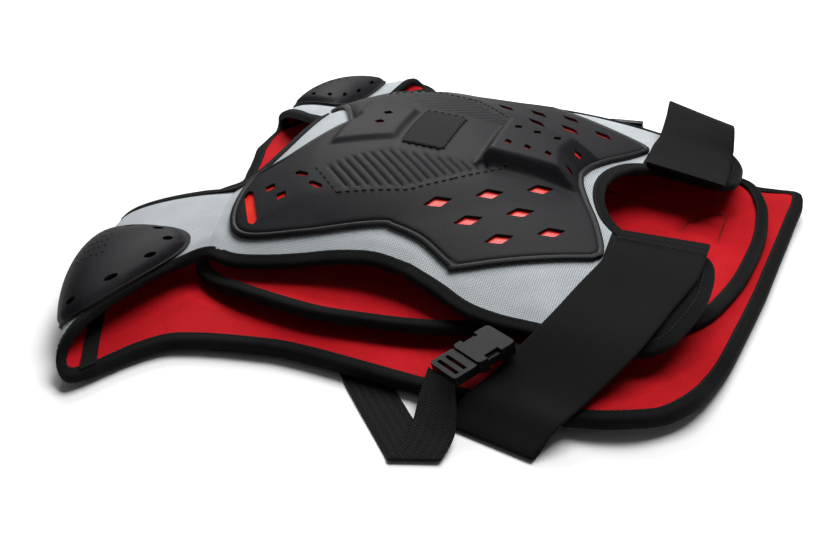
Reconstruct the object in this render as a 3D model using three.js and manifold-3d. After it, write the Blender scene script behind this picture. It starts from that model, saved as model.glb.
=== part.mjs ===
// A sleeveless body armour vest lying on its back panel, chest up.
// Millimetres, +Z up. X runs from the shoulders to the hem and Y across, with the wearer's right side negative.
import * as THREE from 'three';
import { mergeVertices } from 'three/addons/utils/BufferGeometryUtils.js';
import Module from 'manifold-3d';

const wasm = await Module();
wasm.setup();

// Driving dimensions
const GAP = 0.35;               // clearance kept between neighbouring pieces
const PANEL_THICK = 6;          // mesh, foam and lining of the chest and the shoulders
const BACK_THICK = 9;           // the back panel has thicker foam
const PAD_THICK = 9;            // inner back pad
const PAD_RISE = 11.5;          // how far the pad's sides stand up from its middle
const BINDING_WIDTH = 11;       // black tape folded round every edge
const BINDING_LIP = 0.9;        // how far the tape stands proud of the panel
const SEAM_ROOM = 1.2;          // room between a panel's edge and the tape round it
const LINER_THICK = 1;          // red sheet behind the vents
const SHELL_THICK = 2.5;        // moulded chest plate
const PATCH_THICK = 1;
const CUP_THICK = 2.5;
const CUP_RISE = 14;            // height of a shoulder cup's dome above the strap
const STRAP_WIDTH = 72;         // waist elastic
const STRAP_THICK = 2;
const WEBBING_WIDTH = 32;
const LOOP_WIDTH = 22;           // short loop sewn to the chest
const WEBBING_THICK = 1.6;
const TAB_SEAM = 222;           // chest frame x where the side tabs are sewn on
const FACET_TOLERANCE = 0.12;   // facets this close to flat are joined

// The chest lies askew on the back: its frame is turned about its own centre.
const CHEST_YAW = THREE.MathUtils.degToRad(6.3);
const CHEST_X = -95;

// Heights of the chest panel's outer face: middle line [x, z], how fast the sides fall [x, fall],
// and the share of that fall on the left side [x, share]
const CHEST_MIDDLE = [[-130, 52], [-100, 69], [-60, 87], [-30, 93.5], [0, 95], [50, 93], [100, 88],
  [150, 80], [190, 72], [230, 64], [280, 58], [330, 52]];
const CHEST_FALL = [[-100, 0.0011], [-30, 0.0015], [50, 0.0013], [120, 0.0011], [150, 0.00095], [190, 0.00078],
  [230, 0.0007], [330, 0.0005]];
const LEFT_FALL = [[-100, 1.5], [-60, 1.05], [-20, 0.8], [60, 0.7], [100, 0.7], [190, 0.85], [330, 1]];

// Chest outline [x, half width]: neck edge, side edge, and the tab with the hem notch
const CHEST_NECK = [[-82, 0], [-83, 27], [-87, 54], [-95, 74], [-105, 86]];
const CHEST_SIDE = [[-92, 176], [-60, 185], [-19, 181], [41, 171], [77, 174], [107, 185], [134, 198],
  [156, 204], [190, 205], [222, 203]];
const CHEST_TAB = [[222, 203], [262, 201], [287, 186], [304, 142], [308, 108], [305, 80], [292, 66],
  [260, 66], [234, 65], [217, 50], [206, 24], [203, 0]];

// Back outline [x, half width]: neck edge, and each side edge round to the middle of the hem. The left hem corner is
// drawn out to a point
const BACK_NECK = [[-252, 0], [-265, 36], [-281, 74]];
const BACK_SIDE = {
  right: [[-142, 276], [-122, 265], [-85, 253], [-45, 246], [60, 246], [135, 244], [182, 236], [216, 220],
    [241, 188], [251, 138], [254, 60], [255, 0]],
  left: [[-142, 276], [-122, 265], [-85, 253], [-45, 246], [60, 246], [135, 244], [160, 235], [178, 216],
    [196, 202], [218, 196], [240, 196], [252, 182], [253, 130], [254, 60], [255, 0]],
};
const PAD_EDGE = [[-235, 0], [-232, 60], [-200, 150], [-165, 192], [-120, 211], [-60, 218], [-20, 213], [60, 190],
  [125, 165], [168, 149], [198, 144], [224, 108], [236, 50], [238, 0]];
const PAD_LEAN = { most: 37, from: 20, over: 175 };   // the pad leans to the left towards the hem

// Shoulder folds at the neck edge and at the arm edge, both given as on the right side: nose and back seam,
// heights of the curve over the chest end and over the nose, and how far the heel of the fold droops
const NECK_FOLD = { nose: [-290, -132, 20], back: [-281, -74, 2], over: -8, crest: 14, heel: [0, 0, -12] };
const ARM_BACK = [-142, -276, 4.2];
const ARM_FOLD = {
  right: { nose: [-197, -335, 14], back: ARM_BACK, over: 10, crest: 30, heel: [28, -40, -12] },
  left: { nose: [-205, -305, 19], back: ARM_BACK, over: -8, crest: 19, heel: [12, -16, -16] },
};
const FOLD_BULGE = 11;

// Shoulder cup on the strap's own grid: middle and half sizes across (neck to arm) and along (chest to back).
// It leans out towards the arm at its chest end, and its dome is pressed down at its other end.
const CUP = {
  right: { across: 0.6, along: 0.352, halfAcross: 0.335, halfAlong: 0.3, lean: 0.18 },
  left: { across: 0.47, along: 0.38, halfAcross: 0.335, halfAlong: 0.27, lean: 0.06 },
};
const CUP_PRESSED = 0.75;
const CUP_HOLE = { count: 12, radius: 0.82, long: 8, wide: 5, depth: 14 };
const CUP_CLEARANCE = 1.5;      // between the strap's mesh and the cup's rim

// Chest plate outline [x, half width] from the neck notch to the hem scoop
const PLATE_EDGE = [[-33, 0], [-64, 61], [-90, 90], [-86, 138], [-63, 163], [-12, 156], [46, 139], [58, 139],
  [84, 146], [112, 163], [124, 164], [206, 122], [218, 114], [222, 103], [211, 72], [197, 44], [187, 20], [183, 0]];
const PLATE_FLANGE = 5;         // flat stitched rim before the plate rises
const PLATE_STEEP = 0.9;        // steepest rise from the rim

// Raised fields of the plate: crest corners [x, half width], height over the rim and width of the slope around
const PLATE_FIELDS = [
  { name: 'body', crest: [[-62, 0], [-62, 72], [-70, 118], [-27, 118], [5, 117], [59, 103], [150, 40], [150, 0]],
    height: 3, slope: 30 },
  { name: 'collar', crest: [[-27, 0], [-27, 50], [20, 30], [20, 0]], height: 6, slope: 6 },
  { name: 'lobe', crest: [[60, 106], [168, 24], [186, 34], [212, 103], [204, 112], [122, 152], [72, 128]],
    height: 7, slope: 9 },
  { name: 'ridge', crest: [[108, 0], [108, 35], [178, 29], [178, 0]], height: 16, slope: 11 },
];

// Vents through the plate, on each half: middle, length, width, turn of the length from X towards the side, corners
const VENTS = [
  { x: 85, y: 104, long: 26, wide: 12, turn: -36, corners: 4 },
  { x: 121, y: 79, long: 26, wide: 12, turn: -36, corners: 4 },
  { x: 157, y: 53, long: 26, wide: 12, turn: -36, corners: 4 },
  { x: 114, y: 115, long: 26, wide: 12, turn: -36, corners: 4 },
  { x: 150, y: 90, long: 26, wide: 12, turn: -36, corners: 4 },
  { x: 143, y: 127, long: 26, wide: 12, turn: -36, corners: 4 },
  { x: 179, y: 103, long: 26, wide: 12, turn: -36, corners: 4 },
  { x: 119, y: 17, long: 10, wide: 7, turn: 62, corners: 4 },
  { x: 136, y: 17, long: 10, wide: 7, turn: 62, corners: 4 },
  { x: 154, y: 17, long: 10, wide: 7, turn: 62, corners: 4 },
  { x: 173, y: 17, long: 10, wide: 7, turn: 62, corners: 4 },
  { x: -70, y: 131, long: 48, wide: 8, turn: 60, corners: 6 },
  { x: -61, y: 110, long: 11, wide: 11, turn: 15, corners: 4 },
  { x: -46, y: 121, long: 11, wide: 11, turn: 15, corners: 4 },
  { x: -38, y: 96, long: 15, wide: 5, turn: 20, corners: 6 },
  { x: -20, y: 109, long: 15, wide: 5, turn: 20, corners: 6 },
  { x: 0, y: 11, long: 10, wide: 10, turn: 0, corners: 4 },
];

const PATCH = { x: 48, length: 37, width: 72 };

// Routes of the waist straps' middle lines from the chest end: point and direction of the width
const WAIST_ROUTES = {
  right: [
    { at: [174, -36, 60.6], across: [0.96, 0.28, -0.1] },
    { at: [175.5, -80, 56.8], across: [1, 0.08, -0.09] },
    { at: [168, -125, 50.8], across: [1, 0, -0.08] },
    { at: [158.5, -179, 43], across: [1, -0.12, -0.06] },
    { at: [138, -226, 22.5], across: [0.99, -0.16, 0] },
    { at: [130, -247, 17.6], across: [0.99, -0.16, 0] },
    { at: [124, -260, 10], across: [0.99, -0.16, 0] },
    { at: [120.5, -269, 4.6], across: [0.99, -0.16, 0] },
    { at: [120, -271, 2.6], across: [0.99, -0.16, 0] },
    { at: [120.5, -267, 1.6], across: [0.99, -0.16, 0] },
    { at: [121.5, -226, 1.6], across: [0.99, -0.16, 0] },
  ],
  left: [
    { at: [158, 88, 62], across: [1, -0.06, -0.1] },
    { at: [154, 128, 59.4], across: [1, -0.08, -0.09] },
    { at: [150, 160, 61.5], across: [1, -0.26, -0.05] },
    { at: [146, 185, 68], across: [1, -0.46, 0] },
    { at: [140.5, 212, 72], across: [1, -0.6, 0] },
    { at: [137, 236, 58], across: [1, -0.38, 0] },
    { at: [133, 262, 20], across: [1, -0.05, 0] },
    { at: [131, 270, 5.5], across: [1, 0, 0] },
    { at: [130.5, 271.5, 2.9], across: [1, 0, 0] },
    { at: [130.5, 266, 1.6], across: [1, 0, 0] },
    { at: [131, 226, 1.6], across: [1, 0, 0] },
  ],
};

// Buckles: sizes, the middle line from the socket's sewn end to the plug's bar, and the direction of the width
const BUCKLE = { width: 34, thick: 10, socket: 33, plug: 21, cavity: 25, slot: 3 };
const BUCKLES = {
  right: { start: [101, -199, 39.6], end: [75, -243.5, 28.1], across: [0.95, -0.25, 0.16] },
  left: { start: [62, 234, 37], end: [51, 284, 21], across: [0.977, 0.21, 0] },
};

// Routes of the narrow webbing from each plug, and of the short loops that hold the sockets
const WEBBING_ROUTES = {
  right: [
    { at: [73.6, -246, 27.3], across: [0.85, -0.52, 0.1] },
    { at: [78, -261, 17.5], across: [0.97, -0.2, 0.05] },
    { at: [84, -282, 7.8], across: [1, 0.05, 0] },
    { at: [85.5, -303, 4], across: [0.96, 0.25, 0] },
    { at: [84, -312, 2.8], across: [1, 0.45, 0] },
    { at: [79, -307, 1.5], across: [0.95, 0.5, 0] },
    { at: [22, -252, 1.5], across: [0.71, 0.71, 0] },
    { at: [-4, -226, 1.5], across: [0.71, 0.71, 0] },
  ],
  left: [
    { at: [50.5, 286.3, 20.3], across: [0.977, 0.21, 0] },
    { at: [49, 298, 11], across: [1, 0.1, 0] },
    { at: [48.4, 304, 4.6], across: [1, 0, 0] },
    { at: [48.4, 305, 3.1], across: [1, 0, 0] },
    { at: [48.4, 301, 1.9], across: [1, 0, 0] },
    { at: [49, 226, 1.6], across: [1, 0, 0] },
  ],
};
const LOOP_ROUTES = {
  right: [
    { at: [101.6, -197.8, 40], across: [0.85, -0.52, 0.1] },
    { at: [102.2, -196.4, 37.6], across: [0.85, -0.52, 0.1] },
    { at: [100.2, -194.5, 34], across: [0.85, -0.52, 0.05] },
    { at: [99.8, -193.6, 31.4], across: [0.85, -0.52, 0] },
    { at: [100.6, -191.2, 30.6], across: [0.9, -0.4, 0] },
    { at: [102.4, -187.6, 31], across: [0.95, -0.3, 0] },
  ],
  left: [
    { at: [62.3, 232.6, 37.4], across: [0.977, 0.21, 0] },
    { at: [62.5, 231.2, 35.6], across: [0.977, 0.21, 0] },
    { at: [62.4, 229.8, 33], across: [0.977, 0.21, 0] },
    { at: [62, 227.6, 32.2], across: [0.977, 0.21, 0] },
    { at: [61, 221.5, 33.6], across: [0.977, 0.21, 0] },
  ],
};

// Materials, one for each slot of the record
const finish = (color, roughness, metalness = 0) => new THREE.MeshStandardMaterial({ color, roughness, metalness });
const SILVER_MESH = finish(0xc2ccd2, 0.75);
const RED_LINING = finish(0xb01e2c, 0.8);
const BLACK_BINDING = finish(0x171a1a, 0.85);
const BLACK_SHELL = finish(0x3a3a3e, 0.45);
const RED_SHEET = finish(0xe23a2a, 0.2);
const PATCH_RUBBER = finish(0x1c1c20, 0.55);
const BLACK_LOOP = finish(0x141516, 0.95);
const BLACK_ELASTIC = finish(0x1b1b1d, 0.9);
const BLACK_WEBBING = finish(0x18191a, 0.8);
const BUCKLE_PLASTIC = finish(0x35383a, 0.4);

// Small helpers
const V2 = (x, y) => new THREE.Vector2(x, y);
const V3 = (x, y, z) => new THREE.Vector3(x, y, z);
const clamp01 = (value) => THREE.MathUtils.clamp(value, 0, 1);
const smooth = (value) => THREE.MathUtils.smoothstep(value, 0, 1);

function tableAt(rows, x) {
  const next = rows.findIndex((row) => row[0] >= x);
  if (next === 0) return rows[0][1];
  if (next < 0) return rows[rows.length - 1][1];
  const [x0, value0] = rows[next - 1];
  const [x1, value1] = rows[next];
  return value0 + ((value1 - value0) * (x - x0)) / (x1 - x0);
}

// Height of the chest panel's outer face
function chestTop(x, y) {
  const share = y > 0 ? tableAt(LEFT_FALL, x) : 1;
  return tableAt(CHEST_MIDDLE, x) - share * tableAt(CHEST_FALL, x) * y * y;
}

// Underside of the back panel: flat, with its sides and hem corners curling off the floor
function backBottom(x, y) {
  const side = 4.2 * smooth((Math.abs(y) - 185) / 40);
  const corner = 6 * smooth((x - 90) / 150) * smooth((Math.abs(y) - 110) / 90);
  const hem = 3.6 * smooth((x - 205) / 40);
  const shoulder = 2 * smooth((-150 - x) / 60);
  return Math.max(side, hem, shoulder) + corner;
}

// The inner pad's sides stand up off the back panel, less so towards the shoulders
function padBottom(x, y) {
  const lift = PAD_RISE * (y / 190) ** 2 * smooth((x + 210) / 110);
  return BACK_THICK + GAP + Math.max(lift, backBottom(x, y));
}

// Grids of points made into closed solids
function closedGeometry(points, triangles) {
  const geometry = new THREE.BufferGeometry().setFromPoints(points);
  let volume = 0;
  for (const [a, b, c] of triangles) volume += points[a].dot(points[b].clone().cross(points[c]));
  const facing = volume < 0 ? triangles.map(([a, b, c]) => [a, c, b]) : triangles;
  geometry.setIndex(facing.flat());
  return geometry;
}

// A wall between two matching grids of points, closed round its border
function wall(outer, inner) {
  const rows = outer.length;
  const columns = outer[0].length;
  const points = [...outer.flat(), ...inner.flat()];
  const triangles = [];
  const quad = (a, b, c, d) => triangles.push([a, b, c], [a, c, d]);
  const top = (i, j) => i * columns + j;
  const under = (i, j) => rows * columns + i * columns + j;
  for (let i = 0; i + 1 < rows; i += 1) {
    for (let j = 0; j + 1 < columns; j += 1) {
      quad(top(i, j), top(i + 1, j), top(i + 1, j + 1), top(i, j + 1));
      quad(under(i, j), under(i, j + 1), under(i + 1, j + 1), under(i + 1, j));
    }
    quad(top(i, 0), under(i, 0), under(i + 1, 0), top(i + 1, 0));
    quad(top(i, columns - 1), top(i + 1, columns - 1), under(i + 1, columns - 1), under(i, columns - 1));
  }
  for (let j = 0; j + 1 < columns; j += 1) {
    quad(top(0, j), top(0, j + 1), under(0, j + 1), under(0, j));
    quad(top(rows - 1, j), under(rows - 1, j), under(rows - 1, j + 1), top(rows - 1, j + 1));
  }
  return closedGeometry(points, triangles);
}

// Sections of equal length joined in order, as a closed ring or with capped ends
function loft(sections, ring) {
  const size = sections[0].length;
  const points = sections.flat();
  const triangles = [];
  const spans = ring ? sections.length : sections.length - 1;
  for (let i = 0; i < spans; i += 1) {
    const next = (i + 1) % sections.length;
    for (let j = 0; j < size; j += 1) {
      const k = (j + 1) % size;
      triangles.push([i * size + j, next * size + j, next * size + k], [i * size + j, next * size + k, i * size + k]);
    }
  }
  if (!ring) {
    const last = (sections.length - 1) * size;
    for (let j = 1; j + 1 < size; j += 1) triangles.push([0, j, j + 1], [last, last + j + 1, last + j]);
  }
  return closedGeometry(points, triangles);
}

// Boolean joins and cuts
function toManifold(geometry) {
  const bare = geometry.clone();
  bare.deleteAttribute('normal');
  bare.deleteAttribute('uv');
  const merged = mergeVertices(bare, 1e-4);
  const vertProperties = new Float32Array(merged.attributes.position.array);
  const triVerts = new Uint32Array(merged.index.array);
  return new wasm.Manifold(new wasm.Mesh({ numProp: 3, vertProperties, triVerts }));
}

function toGeometry(manifold) {
  const mesh = manifold.getMesh();
  const geometry = new THREE.BufferGeometry();
  geometry.setAttribute('position', new THREE.BufferAttribute(new Float32Array(mesh.vertProperties), 3));
  geometry.setIndex(Array.from(mesh.triVerts));
  return geometry;
}

function boxBetween(low, high) {
  const box = new THREE.BoxGeometry(high[0] - low[0], high[1] - low[1], high[2] - low[2]);
  return box.translate((low[0] + high[0]) / 2, (low[1] + high[1]) / 2, (low[2] + high[2]) / 2);
}

// A sheet with a plan outline and holes, between an upper and a lower height
function drape({ outline, holes = [], top, bottom, cell }) {
  const box = new THREE.Box2().setFromPoints(outline).expandByScalar(1);
  const low = box.min.divideScalar(cell).floor();
  const high = box.max.divideScalar(cell).ceil();
  const xs = Array.from({ length: high.x - low.x + 1 }, (_, i) => (low.x + i) * cell);
  const ys = Array.from({ length: high.y - low.y + 1 }, (_, j) => (low.y + j) * cell);
  const grid = (height) => xs.map((x) => ys.map((y) => V3(x, y, height(x, y))));
  const shape = new THREE.Shape(outline);
  for (const hole of holes) shape.holes.push(new THREE.Path(hole));
  const prism = new THREE.ExtrudeGeometry(shape, { depth: 300, bevelEnabled: false }).translate(0, 0, -50);
  return toManifold(wall(grid(top), grid(bottom))).intersect(toManifold(prism)).simplify(FACET_TOLERANCE);
}

// Plan outlines
function halfCurve(rows, count) {
  const curve = new THREE.SplineCurve(rows.map(([x, halfWidth]) => V2(x, -halfWidth)));
  return curve.getSpacedPoints(count);
}

// Unit vector from a point of a curve towards the left of its run, which is the inside of every outline here.
// An end on the mirror line has its neighbour's mirror image beyond it.
function inwardAt(points, i) {
  const point = points[i];
  const beyond = (neighbour) => (Math.abs(point.y) < 1e-6 ? V2(neighbour.x, -neighbour.y) : point);
  const before = points[i - 1] ?? beyond(points[i + 1]);
  const after = points[i + 1] ?? beyond(points[i - 1]);
  const along = after.clone().sub(before).normalize();
  return V2(-along.y, along.x);
}

function inset(points, distance) {
  return points.map((point, i) => point.clone().addScaledVector(inwardAt(points, i), distance));
}

// The part of a shoulder seam between the two bindings
function seamBetween([x0, half0], [x1, half1], margin) {
  const [from, to] = [V2(x0, -half0), V2(x1, -half1)];
  const share = margin / from.distanceTo(to);
  return [from.clone().lerp(to, share), to.clone().lerp(from, share)];
}

// The right-hand stretches in order, then mirrored back along the left
function closedOutline(...stretches) {
  const right = stretches.flat();
  const left = right.map(({ x, y }) => V2(x, -y)).reverse();
  const loop = [...right, ...left];
  return loop.filter((point, i) => point.distanceTo(loop[(i + 1) % loop.length]) > 0.05);
}

const lastOf = (rows) => rows[rows.length - 1];
const chestNeck = halfCurve(CHEST_NECK, 6);
const chestSide = halfCurve(CHEST_SIDE, 11);
const chestTab = halfCurve(CHEST_TAB, 18);
const backNeck = halfCurve(BACK_NECK, 4);
const backSide = { right: halfCurve(BACK_SIDE.right, 28), left: halfCurve(BACK_SIDE.left, 28) };
const backSideOf = (side) => (side < 0 ? backSide.right : backSide.left);
const padEdge = halfCurve(PAD_EDGE, 20);
const padLean = (x) => PAD_LEAN.most * smooth((x - PAD_LEAN.from) / PAD_LEAN.over);
const padHalf = (side) => padEdge.map(({ x, y }) => V2(x, y - side * padLean(x)));
const plateEdge = halfCurve(PLATE_EDGE, 38);

// A half outline put on its side (-1 right, 1 left), and a ring through both halves
const sided = ({ x, y }, side) => V2(x, -side * y);
const ringThrough = (half) => [...half(-1), ...half(1).slice(1, -1).reverse()];

// Where the chest frame stands in the vest
const chestMatrix = new THREE.Matrix4().makeRotationZ(CHEST_YAW).setPosition(CHEST_X, 0, 0);
const onVest = (point) => point.applyMatrix4(chestMatrix);
const chestPoint = (x, y, over = 0) => onVest(V3(x, y, chestTop(x, y) + over));

// Scene graph
const vest = new THREE.Group();
const chest = new THREE.Group();
chest.rotation.z = CHEST_YAW;
chest.position.x = CHEST_X;
vest.add(chest);

function addPiece(parent, name, geometry, material) {
  const flat = geometry.index ? geometry.toNonIndexed() : geometry;
  flat.computeVertexNormals();
  const mesh = new THREE.Mesh(flat, material);
  mesh.name = name;
  parent.add(mesh);
  return mesh;
}

// Back panel and inner pad
const BACK_CELL = 36;
const backTop = (x, y) => backBottom(x, y) + BACK_THICK;
const BOUND = BINDING_WIDTH + SEAM_ROOM;
const backSeam = seamBetween(lastOf(BACK_NECK), BACK_SIDE.right[0], BOUND + 2 * SEAM_ROOM);
const backHalf = (side) => [...inset(backNeck, BOUND), ...backSeam, ...inset(backSideOf(side), BOUND)];
const backOutline = ringThrough((side) => backHalf(side).map((point) => sided(point, side)));
const backPanel = drape({ outline: backOutline, top: backTop, bottom: backBottom, cell: BACK_CELL });
addPiece(vest, 'back_panel', toGeometry(backPanel), RED_LINING);

const padTop = (x, y) => padBottom(x, y) + PAD_THICK;
const padOutline = ringThrough((side) => inset(padHalf(side), BOUND).map((point) => sided(point, side)));
const backPad = drape({ outline: padOutline, top: padTop, bottom: padBottom, cell: BACK_CELL });
addPiece(vest, 'back_pad', toGeometry(backPad), RED_LINING);

// Chest panel with its two side tabs, cut apart at the seam
const CHEST_CELL = 36;
const chestUnder = (x, y) => chestTop(x, y) - PANEL_THICK;
const chestSeam = seamBetween(lastOf(CHEST_NECK), CHEST_SIDE[0], BOUND + 2 * SEAM_ROOM);
const chestOutline = closedOutline(
  inset(chestNeck, BOUND),
  chestSeam,
  inset(chestSide, BOUND),
  inset(chestTab, BOUND),
);
const chestSheet = drape({ outline: chestOutline, top: chestTop, bottom: chestUnder, cell: CHEST_CELL });
const FAR = 600;
const shoulderSide = toManifold(boxBetween([-FAR, -FAR, -FAR], [TAB_SEAM - GAP / 2, FAR, FAR]));
addPiece(chest, 'front_panel', toGeometry(chestSheet.intersect(shoulderSide)), SILVER_MESH);
for (const [name, side] of [['side_tab_right', -1], ['side_tab_left', 1]]) {
  const low = [TAB_SEAM + GAP / 2, side < 0 ? -FAR : 0, -FAR];
  const high = [FAR, side < 0 ? 0 : FAR, FAR];
  const tab = chestSheet.intersect(toManifold(boxBetween(low, high)));
  addPiece(chest, name, toGeometry(tab), BLACK_LOOP);
}

// Height of the plate's relief over its rim
const mirrored = (rows) => rows.filter(([, y]) => y > 0).map(([x, y]) => [x, -y]).reverse();
const crestLines = PLATE_FIELDS.map(({ crest }) => (crest[0][1] === 0 ? [...crest, ...mirrored(crest)] : crest));

function insideDistance(polygon, x, y) {
  return Math.min(...polygon.map(([x0, y0], i) => {
    const [x1, y1] = polygon[(i + 1) % polygon.length];
    return ((y1 - y0) * (x - x0) - (x1 - x0) * (y - y0)) / Math.hypot(x1 - x0, y1 - y0);
  }));
}

function rimDistance(x, y) {
  const point = V3(x, -Math.abs(y), 0);
  const nearest = V3();
  let least = Infinity;
  for (let i = 0; i + 1 < plateEdge.length; i += 1) {
    const [a, b] = [plateEdge[i], plateEdge[i + 1]];
    new THREE.Line3(V3(a.x, a.y, 0), V3(b.x, b.y, 0)).closestPointToPoint(point, true, nearest);
    least = Math.min(least, nearest.distanceTo(point));
  }
  return least;
}

function relief(x, y) {
  const heights = PLATE_FIELDS.map(({ height, slope }, i) => (
    height * clamp01(1 + insideDistance(crestLines[i], x, Math.abs(y)) / slope)
  ));
  const limit = Math.max(0, rimDistance(x, y) - PLATE_FLANGE) * PLATE_STEEP;
  return Math.min(Math.max(...heights), limit);
}

// Vent outlines: a rhombus, or a slot with pointed ends
function ventOutline({ x, y, long, wide, turn, corners }, side) {
  const [a, b] = [long / 2, wide / 2];
  const rhombus = [[a, 0], [0, b], [-a, 0], [0, -b]];
  const slot = [[a, 0], [a - b, b], [b - a, b], [-a, 0], [b - a, -b], [a - b, -b]];
  const angle = THREE.MathUtils.degToRad(turn);
  return (corners === 4 ? rhombus : slot).map(([u, v]) => V2(
    x + u * Math.cos(angle) - v * Math.sin(angle),
    side * (y + u * Math.sin(angle) + v * Math.cos(angle)),
  ));
}

// Chest plate, the red sheet behind its vents and the bare patch on it
const PLATE_CELL = 18;
const LINER_INSET = 9;
const linerUnder = (x, y) => chestTop(x, y) + GAP;
const linerTop = (x, y) => linerUnder(x, y) + LINER_THICK;
const plateUnder = (x, y) => linerTop(x, y) + GAP + relief(x, y);
const plateTop = (x, y) => plateUnder(x, y) + SHELL_THICK;
const vents = VENTS.flatMap((vent) => [ventOutline(vent, 1), ventOutline(vent, -1)]);
const plateOutline = closedOutline(plateEdge);
const plate = drape({ outline: plateOutline, holes: vents, top: plateTop, bottom: plateUnder, cell: PLATE_CELL });
addPiece(chest, 'chest_plate', toGeometry(plate), BLACK_SHELL);

const linerOutline = closedOutline(inset(plateEdge, LINER_INSET));
const liner = drape({ outline: linerOutline, top: linerTop, bottom: linerUnder, cell: CHEST_CELL });
addPiece(chest, 'vent_liner', toGeometry(liner), RED_SHEET);

const patchOutline = [[-1, -1], [1, -1], [1, 1], [-1, 1]].map(([along, across]) => (
  V2(PATCH.x + (along * PATCH.length) / 2, (across * PATCH.width) / 2)
));
const patchUnder = (x, y) => plateTop(x, y) + GAP;
const patchTop = (x, y) => patchUnder(x, y) + PATCH_THICK;
const patch = drape({ outline: patchOutline, top: patchTop, bottom: patchUnder, cell: PLATE_CELL });
addPiece(chest, 'chest_patch', toGeometry(patch), PATCH_RUBBER);

// Shoulder straps: for every place across, from the neck edge 0 to the arm edge 1, a fold from chest to back
const mix = (a, b, t) => a + (b - a) * t;
const [neckCorner, armCorner] = [lastOf(CHEST_NECK), CHEST_SIDE[0]];

function foldPath(side, across) {
  const armFold = side < 0 ? ARM_FOLD.right : ARM_FOLD.left;
  const lerpRow = (from, to, share = across) => from.map((value, i) => mix(value, to[i], share));
  const [seamX, seamHalf] = lerpRow(neckCorner, armCorner);
  const front = chestPoint(seamX, side * seamHalf);
  const [noseX, noseY, noseZ] = lerpRow(NECK_FOLD.nose, armFold.nose);
  const bulge = FOLD_BULGE * Math.sin(Math.PI * across);
  const nose = V3(noseX - bulge * 0.95, -side * (noseY - bulge * 0.3), noseZ);
  const [backX, backY] = lerpRow(NECK_FOLD.back, armFold.back);
  const back = V3(backX, -side * backY, backBottom(backX, backY));
  const over = front.clone().lerp(V3(nose.x, nose.y, front.z), 0.5);
  over.z = front.z + mix(NECK_FOLD.over, armFold.over, across);
  const crest = V3(nose.x, nose.y, nose.z + mix(NECK_FOLD.crest, armFold.crest, across));
  const [droopX, droopY, droopZ] = lerpRow(NECK_FOLD.heel, armFold.heel, across ** 2);
  const heel = V3(nose.x + droopX, nose.y - side * droopY, nose.z + droopZ);
  const under = back.clone().lerp(V3(nose.x, nose.y, back.z), 0.55);
  const upper = new THREE.CubicBezierCurve3(front, over, crest, nose);
  const lower = new THREE.CubicBezierCurve3(nose, heel, under, back);
  return (along) => (along < 0.5 ? upper.getPoint(along * 2) : lower.getPoint(along * 2 - 1));
}

function strapPoint(side, along, across) {
  return foldPath(side, across)(along);
}

function strapNormal(side, along, across) {
  const step = 0.01;
  const [low, high] = [Math.max(along - step, 0), Math.min(along + step, 1)];
  const run = strapPoint(side, high, across).sub(strapPoint(side, low, across));
  const reach = strapPoint(side, along, across + step).sub(strapPoint(side, along, across - step));
  return run.cross(reach).multiplyScalar(-side).normalize();
}

const strapWidth = (side, along) => strapPoint(side, along, 0).distanceTo(strapPoint(side, along, 1));

// A wall on the strap's grid between two depths along its normal
function strapWall(side, alongs, acrossAt, outerDepth, innerDepth) {
  const grid = (depth) => alongs.map((along) => acrossAt(along).map((across) => (
    strapPoint(side, along, across).addScaledVector(strapNormal(side, along, across), -depth)
  )));
  return wall(grid(outerDepth), grid(innerDepth));
}

const steps = (from, to, count) => Array.from({ length: count + 1 }, (_, i) => mix(from, to, i / count));

const STRAP_ALONG = steps(0.006, 0.994, 14);

function shoulderStrap(side) {
  const acrossAt = (along) => {
    const edge = (BOUND + 3 * SEAM_ROOM) / strapWidth(side, along);
    return steps(edge, 1 - edge, 5);
  };
  return strapWall(side, STRAP_ALONG, acrossAt, 0, PANEL_THICK);
}

// Shoulder cups: a rim band and a dome, in rings round the middle of the cup
const CUP_RINGS = [1, 0.94, 0.86, 0.72, 0.52, 0.28];
const CUP_SECTORS = 20;

function cupRise(radius) {
  const band = 2.2 * smooth((1 - radius) / 0.1);
  const dome = Math.max(0, 1 - (radius / 0.96) ** 2) ** 0.75;
  return band + (CUP_RISE - 2.2) * dome;
}

function cupPoint(side, radius, angle, depth) {
  const cup = side < 0 ? CUP.right : CUP.left;
  const [u, v] = [radius * Math.cos(angle), radius * Math.sin(angle)];
  const along = cup.along + cup.halfAlong * v;
  const across = cup.across + cup.halfAcross * u - cup.lean * v;
  const pressed = 1 - CUP_PRESSED * smooth((v + 0.2) / 0.9);
  const lift = CUP_CLEARANCE + cupRise(radius) * pressed + depth;
  return strapPoint(side, along, across).addScaledVector(strapNormal(side, along, across), lift);
}

// A body of revolution-like rings, closed by a point at each end
function cappedRings(rings, firstPole, lastPole) {
  const size = rings[0].length;
  const points = [...rings.flat(), firstPole, lastPole];
  const [first, last] = [points.length - 2, points.length - 1];
  const triangles = [];
  for (let j = 0; j < size; j += 1) {
    const k = (j + 1) % size;
    for (let i = 0; i + 1 < rings.length; i += 1) {
      const [a, b] = [i * size, (i + 1) * size];
      triangles.push([a + j, b + j, b + k], [a + j, b + k, a + k]);
    }
    const end = (rings.length - 1) * size;
    triangles.push([first, j, k], [last, end + k, end + j]);
  }
  return closedGeometry(points, triangles);
}

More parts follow.
